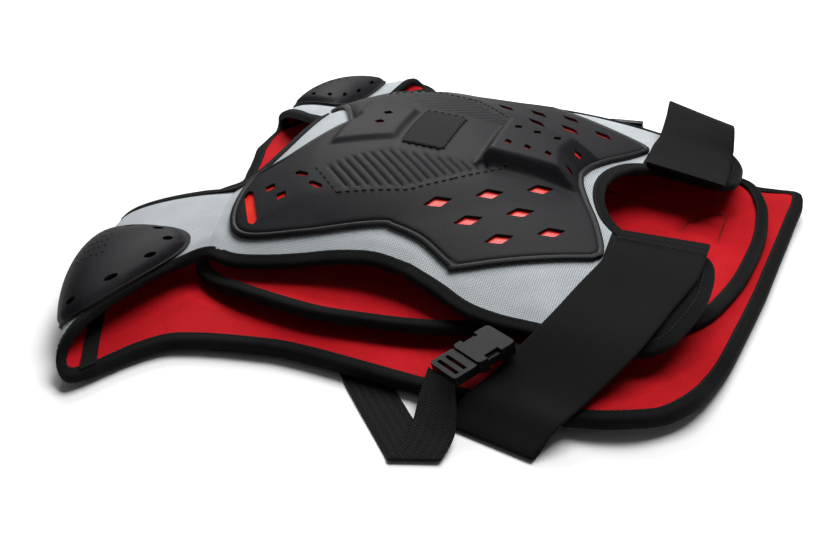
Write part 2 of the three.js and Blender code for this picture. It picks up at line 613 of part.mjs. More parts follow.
function cupHole(side, angle) {
  const at = cupPoint(side, CUP_HOLE.radius, angle, CUP_THICK / 2);
  const along = cupPoint(side, CUP_HOLE.radius, angle + 0.05, CUP_THICK / 2).sub(at).normalize();
  const outward = cupPoint(side, CUP_HOLE.radius, angle, CUP_THICK).sub(at).normalize();
  const acrossRim = along.clone().cross(outward).normalize();
  const hole = new THREE.CylinderGeometry(1, 1, CUP_HOLE.depth, 6).scale(CUP_HOLE.long / 2, 1, CUP_HOLE.wide / 2);
  const turn = new THREE.Matrix4().makeBasis(along, acrossRim.clone().cross(along), acrossRim);
  return hole.applyMatrix4(turn.setPosition(at));
}

function shoulderCup(side) {
  const angles = steps(0, 2 * Math.PI, CUP_SECTORS).slice(0, -1);
  const ring = (radius, depth) => angles.map((angle) => cupPoint(side, radius, angle, depth));
  const innerRings = CUP_RINGS.map((radius) => ring(radius, 0)).reverse();
  const outerRings = CUP_RINGS.map((radius) => ring(radius, CUP_THICK));
  const shell = cappedRings([...innerRings, ...outerRings], cupPoint(side, 0, 0, 0), cupPoint(side, 0, 0, CUP_THICK));
  const holes = steps(0, 2 * Math.PI, CUP_HOLE.count).slice(0, -1).map((angle) => toManifold(cupHole(side, angle)));
  return toGeometry(holes.reduce((body, hole) => body.subtract(hole), toManifold(shell)));
}

// Bindings: a folded tape swept along an edge, given where the edge is, which way is in and which way is out
function frameOn(surface, point, inward, half, below = half) {
  const step = 0.5;
  const { x, y } = point;
  const slopeX = (surface(x + step, y) - surface(x - step, y)) / (2 * step);
  const slopeY = (surface(x, y + step) - surface(x, y - step)) / (2 * step);
  const into = V3(inward.x, inward.y, slopeX * inward.x + slopeY * inward.y).normalize();
  const out = V3(-slopeX, -slopeY, 1).normalize();
  return { at: V3(x, y, surface(x, y)), into, out, half, below };
}

const PANEL_HALF = PANEL_THICK / 2 + BINDING_LIP;
const BACK_HALF = BACK_THICK / 2 + BINDING_LIP;
const PAD_HALF = PAD_THICK / 2 + BINDING_LIP;
const PAD_BELOW = PAD_THICK / 2 - BINDING_LIP;   // no lip where the pad lies on the back panel

function chestFrames(points, side) {
  const middle = (x, y) => chestTop(x, y) - PANEL_THICK / 2;
  return points.map((point, i) => {
    const frame = frameOn(middle, sided(point, side), sided(inwardAt(points, i), side), PANEL_HALF);
    onVest(frame.at);
    frame.into.applyAxisAngle(V3(0, 0, 1), CHEST_YAW);
    frame.out.applyAxisAngle(V3(0, 0, 1), CHEST_YAW);
    return frame;
  });
}

function backFrames(points, side) {
  const middle = (x, y) => backBottom(x, y) + BACK_THICK / 2;
  return points.map((point, i) => {
    const frame = frameOn(middle, sided(point, side), sided(inwardAt(points, i), side), BACK_HALF);
    frame.out.negate();
    return frame;
  });
}

function strapFrames(side, edge) {
  return steps(0, 1, 11).slice(1, -1).map((along) => {
    const out = strapNormal(side, along, edge);
    const into = strapPoint(side, along, mix(edge, 0.5, 0.05)).sub(strapPoint(side, along, edge)).normalize();
    const share = smooth(along * 2 - 1);
    const half = mix(PANEL_HALF, BACK_HALF, share);
    const at = strapPoint(side, along, edge).addScaledVector(out, -mix(PANEL_THICK, BACK_THICK, share) / 2);
    return { at, into, out, half, below: half };
  });
}

function sweepTape(frames, ring) {
  const profile = [[0, -0.72], [0, 0.72], [0.2, 1], [1, 1], [1, -1], [0.2, -1]];
  const sections = frames.map(({ at, into, out, half, below }) => profile.map(([reach, height]) => (
    at.clone().addScaledVector(into, reach * BINDING_WIDTH).addScaledVector(out, height * (height > 0 ? half : below))
  )));
  return loft(sections, ring);
}

// A length of tape from the right side round to the left
const lengthThrough = (half) => [...half(-1), ...half(1).slice(0, -1).reverse()];

const neckRing = ringThrough((side) => [
  ...chestFrames(chestNeck, side),
  ...strapFrames(side, 0),
  ...backFrames(backNeck, side).reverse(),
]);
const chestEdge = [...chestSide.slice(0, -1), ...chestTab];

// Tapes meet end to end on the chest side and on the back side, at these stations of the two edges
const CHEST_JOIN = 6;
const BACK_JOIN = 7;
const hemLength = (side) => chestFrames(chestEdge, side).slice(CHEST_JOIN);
const backLength = (side) => backFrames(backSideOf(side), side).slice(BACK_JOIN);

function shortened(frames) {
  const drawn = (end, next) => ({ ...end, at: end.at.clone().add(next.at.clone().sub(end.at).setLength(2 * GAP)) });
  return [drawn(frames[0], frames[1]), ...frames.slice(1, -1), drawn(lastOf(frames), frames[frames.length - 2])];
}

function armLength(side) {
  return shortened([
    ...chestFrames(chestEdge, side).slice(0, CHEST_JOIN + 1).reverse(),
    ...strapFrames(side, 1),
    ...backFrames(backSideOf(side), side).slice(0, BACK_JOIN + 1),
  ]);
}

const padMiddle = (x, y) => padBottom(x, y) + PAD_THICK / 2;
const padRing = ringThrough((side) => padHalf(side).map((point, i, half) => (
  frameOn(padMiddle, sided(point, side), sided(inwardAt(half, i), side), PAD_HALF, PAD_BELOW)
)));
addPiece(vest, 'neck_binding', sweepTape(neckRing, true), BLACK_BINDING);
addPiece(vest, 'hem_binding', sweepTape(lengthThrough(hemLength), false), BLACK_BINDING);
addPiece(vest, 'back_binding', sweepTape(lengthThrough(backLength), false), BLACK_BINDING);
addPiece(vest, 'back_pad_binding', sweepTape(padRing, true), BLACK_BINDING);

for (const [name, side] of [['right', -1], ['left', 1]]) {
  addPiece(vest, `arm_binding_${name}`, sweepTape(armLength(side), false), BLACK_BINDING);
  addPiece(vest, `shoulder_strap_${name}`, shoulderStrap(side), SILVER_MESH);
  addPiece(vest, `shoulder_cup_${name}`, shoulderCup(side), BLACK_SHELL);
}

// Straps: a flat ribbon along a route, as wide at each row as the row's across vector, so that a fold can lie askew
function ribbon(route, width, thick, count) {
  const curve = new THREE.CatmullRomCurve3(route.map(({ at }) => V3(...at)));
  const sections = steps(0, 1, count).map((share) => {
    const place = share * (route.length - 1);
    const row = Math.min(Math.floor(place), route.length - 2);
    const along = curve.getTangent(share);
    const across = V3(...route[row].across).lerp(V3(...route[row + 1].across), place - row);
    const up = along.clone().cross(across).setLength(thick / 2);
    across.multiplyScalar(width / 2);
    const at = curve.getPoint(share);
    return [[1, 1], [-1, 1], [-1, -1], [1, -1]].map(([a, b]) => (
      at.clone().addScaledVector(across, a).addScaledVector(up, b)
    ));
  });
  return loft(sections, false);
}

// Side-release buckles in their own frame: X across, Y from the sewn end to the bar, Z through the thickness
function roundedPlate(width, from, to, thick, corner) {
  const half = width / 2;
  const shape = new THREE.Shape();
  shape.moveTo(-half + corner, from).lineTo(half - corner, from);
  shape.quadraticCurveTo(half, from, half, from + corner).lineTo(half, to - corner);
  shape.quadraticCurveTo(half, to, half - corner, to).lineTo(-half + corner, to);
  shape.quadraticCurveTo(-half, to, -half, to - corner).lineTo(-half, from + corner);
  shape.quadraticCurveTo(-half, from, -half + corner, from);
  const plateBody = new THREE.ExtrudeGeometry(shape, { depth: thick, bevelEnabled: false, curveSegments: 3 });
  return toManifold(plateBody.translate(0, 0, -thick / 2));
}

const block = (low, high) => toManifold(boxBetween(low, high));
const NOTCH = { from: 13, to: 25, depth: 5 };

function buckleSocket() {
  const { width, thick, socket, cavity } = BUCKLE;
  const mouth = block([-cavity / 2, 7, -3.2], [cavity / 2, socket + 1, 3.2]);
  const side = width / 2 + 1;
  const notchRight = block([width / 2 - NOTCH.depth, NOTCH.from, -thick], [side, NOTCH.to, thick]);
  const notchLeft = block([-side, NOTCH.from, -thick], [NOTCH.depth - width / 2, NOTCH.to, thick]);
  return roundedPlate(width, 0, socket, thick, 4).subtract(mouth).subtract(notchRight).subtract(notchLeft);
}

function bucklePlug() {
  const { width, thick, socket, plug, cavity, slot } = BUCKLE;
  const base = socket + GAP;
  const end = base + plug;
  let body = roundedPlate(width - 2, base, end, thick - 3, 3);
  for (const at of [base + 7, base + 14]) {
    body = body.subtract(block([-width / 2 + 5, at, -thick], [width / 2 - 5, at + slot, thick]));
  }
  const armOut = cavity / 2 - GAP;
  const padOut = width / 2 - 0.6;
  for (const side of [-1, 1]) {
    const span = (near, far) => (side < 0 ? [-far, -near] : [near, far]);
    const [armLow, armHigh] = span(armOut - 3, armOut);
    const [padLow, padHigh] = span(armOut - 1, padOut);
    body = body.add(block([armLow, NOTCH.from + GAP, -2.6], [armHigh, base + 1, 2.6]));
    body = body.add(block([padLow, NOTCH.from + GAP, -2.6], [padHigh, NOTCH.to - GAP, 2.6]));
  }
  return body.add(block([-2.5, 10, -2.4], [2.5, base + 1, 2.4]));
}

function place(mesh, { start, end, across }) {
  const along = V3(...end).sub(V3(...start)).normalize();
  const wide = V3(...across);
  wide.addScaledVector(along, -wide.dot(along)).normalize();
  const basis = new THREE.Matrix4().makeBasis(wide, along, wide.clone().cross(along));
  mesh.quaternion.setFromRotationMatrix(basis);
  mesh.position.set(...start);
}

for (const name of ['right', 'left']) {
  addPiece(vest, `waist_strap_${name}`, ribbon(WAIST_ROUTES[name], STRAP_WIDTH, STRAP_THICK, 30), BLACK_ELASTIC);
  const webbing = ribbon(WEBBING_ROUTES[name], WEBBING_WIDTH, WEBBING_THICK, 24);
  addPiece(vest, `webbing_${name}`, webbing, BLACK_WEBBING);
  const loop = ribbon(LOOP_ROUTES[name], LOOP_WIDTH, WEBBING_THICK, 12);
  addPiece(vest, `buckle_loop_${name}`, loop, BLACK_WEBBING);
  place(addPiece(vest, `buckle_socket_${name}`, toGeometry(buckleSocket()), BUCKLE_PLASTIC), BUCKLES[name]);
  place(addPiece(vest, `buckle_plug_${name}`, toGeometry(bucklePlug()), BUCKLE_PLASTIC), BUCKLES[name]);
}

export default vest;
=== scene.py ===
import math

import bmesh
import bpy
import numpy as np
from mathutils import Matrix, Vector
from mathutils.geometry import delaunay_2d_cdt


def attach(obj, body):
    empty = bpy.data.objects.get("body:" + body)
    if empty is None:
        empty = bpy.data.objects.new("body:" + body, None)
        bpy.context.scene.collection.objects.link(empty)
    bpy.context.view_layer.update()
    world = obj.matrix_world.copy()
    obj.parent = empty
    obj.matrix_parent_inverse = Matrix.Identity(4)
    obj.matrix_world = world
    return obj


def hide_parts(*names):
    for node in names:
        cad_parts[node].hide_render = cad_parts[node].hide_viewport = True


# A sleeveless armour vest lying on its back, chest up. Tables are in millimetres, meshes in metres.
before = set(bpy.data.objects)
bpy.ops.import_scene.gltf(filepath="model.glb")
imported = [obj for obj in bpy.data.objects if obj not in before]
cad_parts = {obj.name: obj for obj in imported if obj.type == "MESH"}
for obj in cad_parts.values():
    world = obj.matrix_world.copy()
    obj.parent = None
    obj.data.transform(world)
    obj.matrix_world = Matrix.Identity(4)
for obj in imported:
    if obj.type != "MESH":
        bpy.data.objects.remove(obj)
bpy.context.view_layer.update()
MM = 0.001

# Camera fitted to the photo, whose focal length is in pixels, and lights in metres and watts
PHOTO = {"width": 813, "focal": 1200}
CAMERA = {"at": (0.3587, -0.8909, 0.504), "azimuth": 25.84, "elevation": 28.88, "sensor": 36}
LIT_PLACE = (0, 0, 0.05)
LIGHTS = {
    "key": {"at": (-1.0, 1.4, 1.3), "size": (1.2, 0.9), "power": 30},
    "top": {"at": (0.3, 0.85, 2.1), "size": (1.8, 1.4), "power": 72},
}

# Sizes of the layers
GAP = 0.35
PANEL_THICK = 6
BACK_THICK = 9
PAD_THICK = 9
BINDING_WIDTH = 11
BINDING_LIP = 0.9
LINER_THICK = 1
SHELL_THICK = 2.5
PATCH_THICK = 1
CUP_THICK = 2.5
CUP_RISE = 14
CUP_CLEARANCE = 1.5
TAPE_THICK = 1.2
STRAP_WIDTH = 72
STRAP_THICK = 2
WEBBING_WIDTH = 32
LOOP_WIDTH = 22
WEBBING_THICK = 1.6
TAB_SEAM = 222
SEAM_REACH = 208

# How far a panel's edge lies inside the edge of its tape, and how far more at the start of its arm edge
TUCK = 6.5
CORNER_TUCK = 3.2
CORNER_REACH = 24
SEAM_LAP = 1

# Swell of the foam, the distances from a tape or the plate over which it grows, and its ripple
PUFF = 1.5
PUFF_FROM = 3
PUFF_OVER = 13
PUFF_OFF_PLATE = 9
RIPPLE = {"share": 0.12, "x": 0.19, "y": 0.16, "start": 0.8, "sway": 1.1, "sway_by": 0.05}

# The chest's own frame
CHEST_YAW = math.radians(6.3)
CHEST_X = -95

# Heights of the chest's outer face: middle line, fall to the sides, and the left side's share of the fall
CHEST_MIDDLE = [[-130, 52], [-100, 69], [-60, 87], [-30, 93.5], [0, 95], [50, 93], [100, 88], [150, 80],
                [190, 72], [230, 64], [280, 58], [330, 52]]
CHEST_FALL = [[-100, 0.0011], [-30, 0.0015], [50, 0.0013], [120, 0.0011], [150, 0.00095], [190, 0.00078],
              [230, 0.0007], [330, 0.0005]]
LEFT_FALL = [[-100, 1.5], [-60, 1.05], [-20, 0.8], [60, 0.7], [100, 0.7], [190, 0.85], [330, 1]]

# Curl of the back panel off the floor: height, where it begins, and over how far
BACK_CURL = {"side": (4.2, 185, 40), "hem": (3.6, 205, 40), "shoulder": (2, 150, 60)}
BACK_CORNER = {"height": 6, "x": (90, 150), "y": (110, 90)}

# The inner pad's sides stand up, and it leans to the left towards the hem
PAD_RISE = {"height": 11.5, "at": 190, "from": -210, "over": 110}
PAD_LEAN = {"most": 37, "from": 20, "over": 175}

# Outlines [x, half width]
CHEST_NECK = [[-82, 0], [-83, 27], [-87, 54], [-95, 74], [-105, 86]]
CHEST_SIDE = [[-92, 176], [-60, 185], [-19, 181], [41, 171], [77, 174], [107, 185], [134, 198], [156, 204],
              [190, 205], [222, 203]]
CHEST_TAB = [[222, 203], [262, 201], [287, 186], [304, 142], [308, 108], [305, 80], [292, 66], [260, 66],
             [234, 65], [217, 50], [206, 24], [203, 0]]
BACK_NECK = [[-252, 0], [-265, 36], [-281, 74]]
BACK_ARM = [[-142, 276], [-122, 265], [-85, 253], [-45, 246], [60, 246], [135, 244]]
BACK_SIDE = {
    -1: BACK_ARM + [[182, 236], [216, 220], [241, 188], [251, 138], [254, 60], [255, 0]],
    1: BACK_ARM + [[160, 235], [178, 216], [196, 202], [218, 196], [240, 196], [252, 182], [253, 130],
                   [254, 60], [255, 0]],
}
PAD_EDGE = [[-235, 0], [-232, 60], [-200, 150], [-165, 192], [-120, 211], [-60, 218], [-20, 213], [60, 190],
            [125, 165], [168, 149], [198, 144], [224, 108], [236, 50], [238, 0]]
PLATE_EDGE = [[-33, 0], [-64, 61], [-90, 90], [-86, 138], [-63, 163], [-12, 156], [46, 139], [58, 139],
              [84, 146], [112, 163], [124, 164], [206, 122], [218, 114], [222, 103], [211, 72], [197, 44],
              [187, 20], [183, 0]]

# Spans of the tapes along the edges, and the stations where two tapes meet end to end
STATIONS = {"chest_neck": 6, "chest_side": 11, "chest_tab": 18, "back_neck": 4, "back_side": 28,
            "pad_edge": 20, "strap": 12}
CHEST_JOIN = 6
BACK_JOIN = 7

# Shoulder folds at the neck and at the arm, given as on the right side
NECK_FOLD = {"nose": (-290, -132, 20), "back": (-281, -74), "over": -8, "crest": 14, "heel": (0, 0, -12)}
ARM_FOLD = {
    -1: {"nose": (-197, -335, 14), "back": (-142, -276), "over": 10, "crest": 30, "heel": (28, -40, -12)},
    1: {"nose": (-205, -305, 19), "back": (-142, -276), "over": -8, "crest": 19, "heel": (12, -16, -16)},
}
FOLD_BULGE = {"size": 11, "forward": 0.95, "aside": 0.3}
FOLD_UNDER = 0.55
STRAP_GRID = (60, 26)
STRAP_CORNER = 0.12
STRAP_SWELL = {"share": 0.6, "over": 0.1}
SEAM_TAPE = {"along": (0.7, 0.775), "across": (0.06, 0.985), "width": 12, "length": 100, "sunk": 0.6}

# Shoulder cups, placed on the straps
CUP = {
    -1: {"across": 0.6, "along": 0.352, "half_across": 0.335, "half_along": 0.3, "lean": 0.18},
    1: {"across": 0.47, "along": 0.38, "half_across": 0.335, "half_along": 0.27, "lean": 0.06},
}
CUP_PRESSED = {"share": 0.75, "from": -0.2, "over": 0.9}
CUP_REACH = 60
CUP_DOME = {"edge": 2.2, "edge_over": 0.1, "reach": 0.96, "power": 0.75}
CUP_GROOVE = {"at": (0.92, 0.965), "depth": 0.6, "half": 0.014}
CUP_HOLE = {"count": 12, "radius": 0.82, "long": 8, "wide": 5}
CUP_PINHOLES = {"rows": 5, "columns": 7, "u": (-0.55, 0.15), "v": (-0.3, 0.02), "stagger": 0.03,
                "radius": 1.0, "lift": 0.12}
SIDES = {"right": -1, "left": 1}

# Chest plate: rim, raised fields on one half, vents on one half, ribs and patch
PLATE_FLANGE = 5
PLATE_STEEP = 0.9
PLATE_BLEND = {"crest": 0.07, "field": 0.25, "rim": 0.5}
PLATE_BEAD = {"at": 2, "half": 2.2, "height": 0.7}
PLATE_GROOVE = {"at": 4.8, "half": 0.8, "depth": 0.7}
RIM_BAND = 4.2
RIM_RINGS = (1, 2, 3.1, RIM_BAND, 4.8, 5.8, 7.2)
PLATE_FIELDS = [
    {"crest": [[-62, 0], [-62, 72], [-70, 118], [-27, 118], [5, 117], [59, 103], [150, 40], [150, 0]],
     "height": 3, "slope": 30},
    {"crest": [[-27, 0], [-27, 50], [20, 30], [20, 0]], "height": 6, "slope": 6},
    {"crest": [[60, 106], [168, 24], [186, 34], [212, 103], [204, 112], [122, 152], [72, 128]],
     "height": 7, "slope": 9},
    {"crest": [[108, 0], [108, 35], [178, 29], [178, 0]], "height": 16, "slope": 11},
]
VENT_GROUPS = [
    {"long": 26, "wide": 12, "turn": -36, "corners": 4,
     "at": [(85, 104), (121, 79), (157, 53), (114, 115), (150, 90), (143, 127), (179, 103)]},
    {"long": 10, "wide": 7, "turn": 62, "corners": 4, "at": [(119, 17), (136, 17), (154, 17), (173, 17)]},
    {"long": 48, "wide": 8, "turn": 60, "corners": 6, "at": [(-70, 131)]},
    {"long": 11, "wide": 11, "turn": 15, "corners": 4, "at": [(-61, 110), (-46, 121)]},
    {"long": 15, "wide": 5, "turn": 20, "corners": 6, "at": [(-38, 96), (-20, 109)]},
    {"long": 10, "wide": 10, "turn": 0, "corners": 4, "at": [(0, 11)]},
]
VENT_ROUNDING = (0.07, 0.36, 0.64, 0.93)
RIB_PANEL = [[-24, 89], [2, 112], [57, 97], [85, 73], [123, 38], [24, 48], [-5, 68]]
RIB = {"across": (0.66, -0.751), "pitch": 7.6, "half_width": 2, "depth": 1.1, "fade": 3, "margin": 0.4,
       "reach": (-10, 170), "numbers": (-20, 30)}
RIB_SEAMS = [[[-27, 90], [1, 115]], [[4, 115], [58, 100], [87, 75]], [[90, 72], [124, 40]]]
LINER_INSET = 9
PATCH = {"x": 48, "length": 37, "width": 72, "corner": 4}
PATCH_BORDER = {"at": 1.6, "half": 1.6, "height": 0.5}
PATCH_FALL = {"depth": 0.4, "over": 0.8}
PATCH_SEAM = {"out": 0.6, "lift": 1.1}

# Inner pad: cloth simulation, and the quilting of one half
PAD_FOAM = {"below": 0.3, "above": 1.5, "clear": 0.1}
PAD_SWELL = {"voxel": 6, "quality": 6, "pressure": 4, "frames": 20, "held": 4, "cap": 4.5}
PAD_TUCK = 5
QUILT = {"depth": 4, "half": 3.6, "from": 3, "over": 4, "near": 3, "lift": 0.5}
QUILT_LINES = [
    [(165, 25), (169, 49)],
    [(169, 49), (196, 78)],
    [(196, 78), (200, 14)],
    [(110, 84), (60, 110), (-60, 120), (-170, 96)],
    [(60, 0), (-20, 52), (-120, 62)],
]

# Tape section [reach from the fold, height in half thicknesses], upper half and inside
TAPE_UPPER = [(BINDING_WIDTH, 0.82), (BINDING_WIDTH, 0.96), (10.6, 1.0), (8, 1.03), (5, 1.04), (2.6, 0.98),
              (1.0, 0.8), (0.2, 0.45)]
TAPE_LOWER = [(reach, -height) for reach, height in reversed(TAPE_UPPER)]
TAPE_PROFILE = [*TAPE_UPPER, (0, 0), *TAPE_LOWER, (5, -0.78), (5, 0.78)]
TAPE_STITCH = {"reach": 9.3, "height": 1.03}

# Hem of a waist strap with its rows of stitches, and the rounding of each half of a buckle
HEM = {"length": 17, "over": 1.5, "thicker": 0.8, "rows": (4, 14), "lift": 0.95}
BUCKLE_EDGES = {"socket": 0.9, "plug": 0.6}

# Strap routes: point of the middle line and direction of the width
WAIST_ROUTES = {
    "right": [
        [(174, -36, 60.6), (0.96, 0.28, -0.1)], [(175.5, -80, 56.8), (1, 0.08, -0.09)],
        [(168, -125, 50.8), (1, 0, -0.08)], [(158.5, -179, 43), (1, -0.12, -0.06)],
        [(138, -226, 22.5), (0.99, -0.16, 0)], [(130, -247, 17.6), (0.99, -0.16, 0)],
        [(124, -260, 10), (0.99, -0.16, 0)], [(120.5, -269, 4.6), (0.99, -0.16, 0)],
        [(120, -271, 2.6), (0.99, -0.16, 0)], [(120.5, -267, 1.6), (0.99, -0.16, 0)],
        [(121.5, -226, 1.6), (0.99, -0.16, 0)],
    ],
    "left": [
        [(158, 88, 62), (1, -0.06, -0.1)], [(154, 128, 59.4), (1, -0.08, -0.09)],
        [(150, 160, 61.5), (1, -0.26, -0.05)], [(146, 185, 68), (1, -0.46, 0)],
        [(140.5, 212, 72), (1, -0.6, 0)], [(137, 236, 58), (1, -0.38, 0)],
        [(133, 262, 20), (1, -0.05, 0)], [(131, 270, 5.5), (1, 0, 0)],
        [(130.5, 271.5, 2.9), (1, 0, 0)], [(130.5, 266, 1.6), (1, 0, 0)], [(131, 226, 1.6), (1, 0, 0)],
    ],
}
WEBBING_ROUTES = {
    "right": [
        [(73.6, -246, 27.3), (0.85, -0.52, 0.1)], [(78, -261, 17.5), (0.97, -0.2, 0.05)],
        [(84, -282, 7.8), (1, 0.05, 0)], [(85.5, -303, 4), (0.96, 0.25, 0)],
        [(84, -312, 2.8), (1, 0.45, 0)], [(79, -307, 1.5), (0.95, 0.5, 0)],
        [(22, -252, 1.5), (0.71, 0.71, 0)], [(-4, -226, 1.5), (0.71, 0.71, 0)],
    ],
    "left": [
        [(50.5, 286.3, 20.3), (0.977, 0.21, 0)], [(49, 298, 11), (1, 0.1, 0)],
        [(48.4, 304, 4.6), (1, 0, 0)], [(48.4, 305, 3.1), (1, 0, 0)],
        [(48.4, 301, 1.9), (1, 0, 0)], [(49, 226, 1.6), (1, 0, 0)],
    ],
}
LOOP_ROUTES = {
    "right": [
        [(101.6, -197.8, 40), (0.85, -0.52, 0.1)], [(102.2, -196.4, 37.6), (0.85, -0.52, 0.1)],
        [(100.2, -194.5, 34), (0.85, -0.52, 0.05)], [(99.8, -193.6, 31.4), (0.85, -0.52, 0)],
        [(100.6, -191.2, 30.6), (0.9, -0.4, 0)], [(102.4, -187.6, 31), (0.95, -0.3, 0)],
    ],
    "left": [
        [(62.3, 232.6, 37.4), (0.977, 0.21, 0)], [(62.5, 231.2, 35.6), (0.977, 0.21, 0)],
        [(62.4, 229.8, 33), (0.977, 0.21, 0)], [(62, 227.6, 32.2), (0.977, 0.21, 0)],
        [(61, 221.5, 33.6), (0.977, 0.21, 0)],
    ],
}


# Curves and tables
def smooth(value):
    share = np.clip(value, 0, 1)
    return share * share * (3 - 2 * share)


def grown(reach, start, run):
    """0 up to the start, then smoothly to 1 over the run."""
    return smooth((reach - start) / run)


def bell(off, half):
    return np.exp(-(off / half) ** 2)


def bead(rim, size):
    """Height of a rounded bead at a distance from a rim."""
    return size["height"] * np.clip(1 - ((rim - size["at"]) / size["half"]) ** 2, 0, 1)


def unit(vectors):
    return vectors / np.linalg.norm(vectors, axis=-1, keepdims=True)


def table_at(rows, x):
    """Smooth curve through the rows of a table, level beyond its ends."""
    xs, values = np.array(rows, float).T
    slopes = np.gradient(values, xs)
    x = np.clip(x, xs[0], xs[-1])
    i = np.clip(np.searchsorted(xs, x) - 1, 0, len(xs) - 2)
    run = xs[i + 1] - xs[i]
    t = (x - xs[i]) / run
    start = (1 + 2 * t) * (1 - t) ** 2 * values[i] + t * (1 - t) ** 2 * run * slopes[i]
    return start + t * t * (3 - 2 * t) * values[i + 1] + t * t * (t - 1) * run * slopes[i + 1]


def spline(rows, per_span, power=0.5, ring=False, lead=3):
    """Curve through rows of any width, spaced by the distance between their leading columns."""
    rows = np.array(rows, float)
    if ring:
        padded = np.vstack([rows[-1:], rows, rows[:2]])
    else:
        padded = np.vstack([2 * rows[:1] - rows[1:2], rows, 2 * rows[-1:] - rows[-2:-1]])
    t = np.linspace(0, 1, per_span, endpoint=False)[:, None]
    spans = []
    for p0, p1, p2, p3 in zip(padded, padded[1:], padded[2:], padded[3:]):
        gaps = [np.linalg.norm((b - a)[:lead]) for a, b in ((p0, p1), (p1, p2), (p2, p3))]
        d0, d1, d2 = (max(gap, 1e-6) ** power for gap in gaps)
        v1 = d1 * ((p1 - p0) / d0 - (p2 - p0) / (d0 + d1) + (p2 - p1) / d1)
        v2 = d1 * ((p2 - p1) / d1 - (p3 - p1) / (d1 + d2) + (p3 - p2) / d2)
        curve = p1 + v1 * t + (3 * (p2 - p1) - 2 * v1 - v2) * t ** 2 + (2 * (p1 - p2) + v1 + v2) * t ** 3
        spans.append(curve)
    return np.vstack(spans if ring else spans + [rows[-1:]])


def lengths_along(path):
    return np.concatenate([[0], np.cumsum(np.linalg.norm(np.diff(path, axis=0), axis=1))])


def resampled(path, count):
    reach = lengths_along(path)
    at = np.linspace(0, reach[-1], count + 1)
    return np.column_stack([np.interp(at, reach, values) for values in path.T])


def spaced(path, step):
    return resampled(path, max(2, round(lengths_along(path)[-1] / step)))


def half_curve(rows, count=None, step=4):
    """One half of an outline, on the right side, with so many spans or so long a step."""
    path = spline([[x, -half] for x, half in rows], 24, power=0, lead=2)
    return resampled(path, count) if count else spaced(path, step)


def without_doubles(loop):
    """The loop without the points that lie on the next one in plan."""
    step = np.linalg.norm((loop - np.roll(loop, -1, axis=0))[:, :2], axis=1)
    return loop[step > 0.05]


def closed_outline(right):
    """A right half and its mirror image as one loop."""
    return without_doubles(np.vstack([right, right[::-1] * (1, -1)]))


def inward_of(loop):
    along = unit(np.roll(loop, -1, axis=0) - np.roll(loop, 1, axis=0))
    return np.column_stack([-along[:, 1], along[:, 0]])


def distance_to(path, points, closed=True):
    """Distance from each point to a line of points."""
    ends = np.roll(path, -1, axis=0) if closed else path[1:]
    starts = path if closed else path[:-1]
    least = np.full(len(points), np.inf)
    for a, b in zip(starts, ends):
        run = b - a
        share = np.clip((points - a) @ run / max(run @ run, 1e-9), 0, 1)
        least = np.minimum(least, np.linalg.norm(points - a - share[:, None] * run, axis=1))
    return least


def inset(loop, distance):
    """The loop moved in, without the points that come too near another stretch of it."""
    moved = loop + inward_of(loop) * np.reshape(distance, (-1, 1))
    keep = distance_to(loop, moved) > np.reshape(distance, -1) - 0.25
    return moved[keep]


def inside(loop, points):
    x, y = points.T
    crossed = np.zeros(len(points), bool)
    for (x0, y0), (x1, y1) in zip(loop, np.roll(loop, -1, axis=0)):
        if y0 != y1:
            crossed ^= ((y0 > y) != (y1 > y)) & (x < (x1 - x0) * (y - y0) / (y1 - y0) + x0)
    return crossed


# Surfaces
def chest_top(x, y):
    share = np.where(y > 0, table_at(LEFT_FALL, x), 1)
    return table_at(CHEST_MIDDLE, x) - share * table_at(CHEST_FALL, x) * y * y


def curl(edge, reach):
    height, start, run = BACK_CURL[edge]
    return height * grown(reach, start, run)


def back_bottom(x, y):
    corner = BACK_CORNER["height"] * grown(x, *BACK_CORNER["x"]) * grown(np.abs(y), *BACK_CORNER["y"])
    edges = np.maximum(curl("side", np.abs(y)), curl("hem", x))
    return np.maximum(edges, curl("shoulder", -x)) + corner


def pad_bottom(x, y):
    rise = PAD_RISE["height"] * (y / PAD_RISE["at"]) ** 2
    lift = rise * grown(x, PAD_RISE["from"], PAD_RISE["over"])
    return BACK_THICK + GAP + np.maximum(lift, back_bottom(x, y))


def pad_lean(x):
    """How far the pad leans to the left, more so towards the hem."""
    return PAD_LEAN["most"] * grown(x, PAD_LEAN["from"], PAD_LEAN["over"])


def puff(rim):
    """Swell of the foam at a distance from its tape."""
    return PUFF * grown(rim, PUFF_FROM, PUFF_OVER)


def turned(vectors):
    c, s = math.cos(CHEST_YAW), math.sin(CHEST_YAW)
    x, y, z = vectors.T
    return np.column_stack([x * c - y * s, x * s + y * c, z])


def on_vest(points):
    return turned(points) + (CHEST_X, 0, 0)


def lift_chest(height):
    return lambda x, y: on_vest(np.column_stack([x, y, height(x, y)]))


def lift_back(height):
    return lambda x, y: np.column_stack([x, y, height(x, y)])


# Shoulder folds
def bezier(t, a, b, c, d):
    t = t[:, None]
    return (1 - t) ** 3 * a + 3 * (1 - t) ** 2 * t * b + 3 * (1 - t) * t ** 2 * c + t ** 3 * d


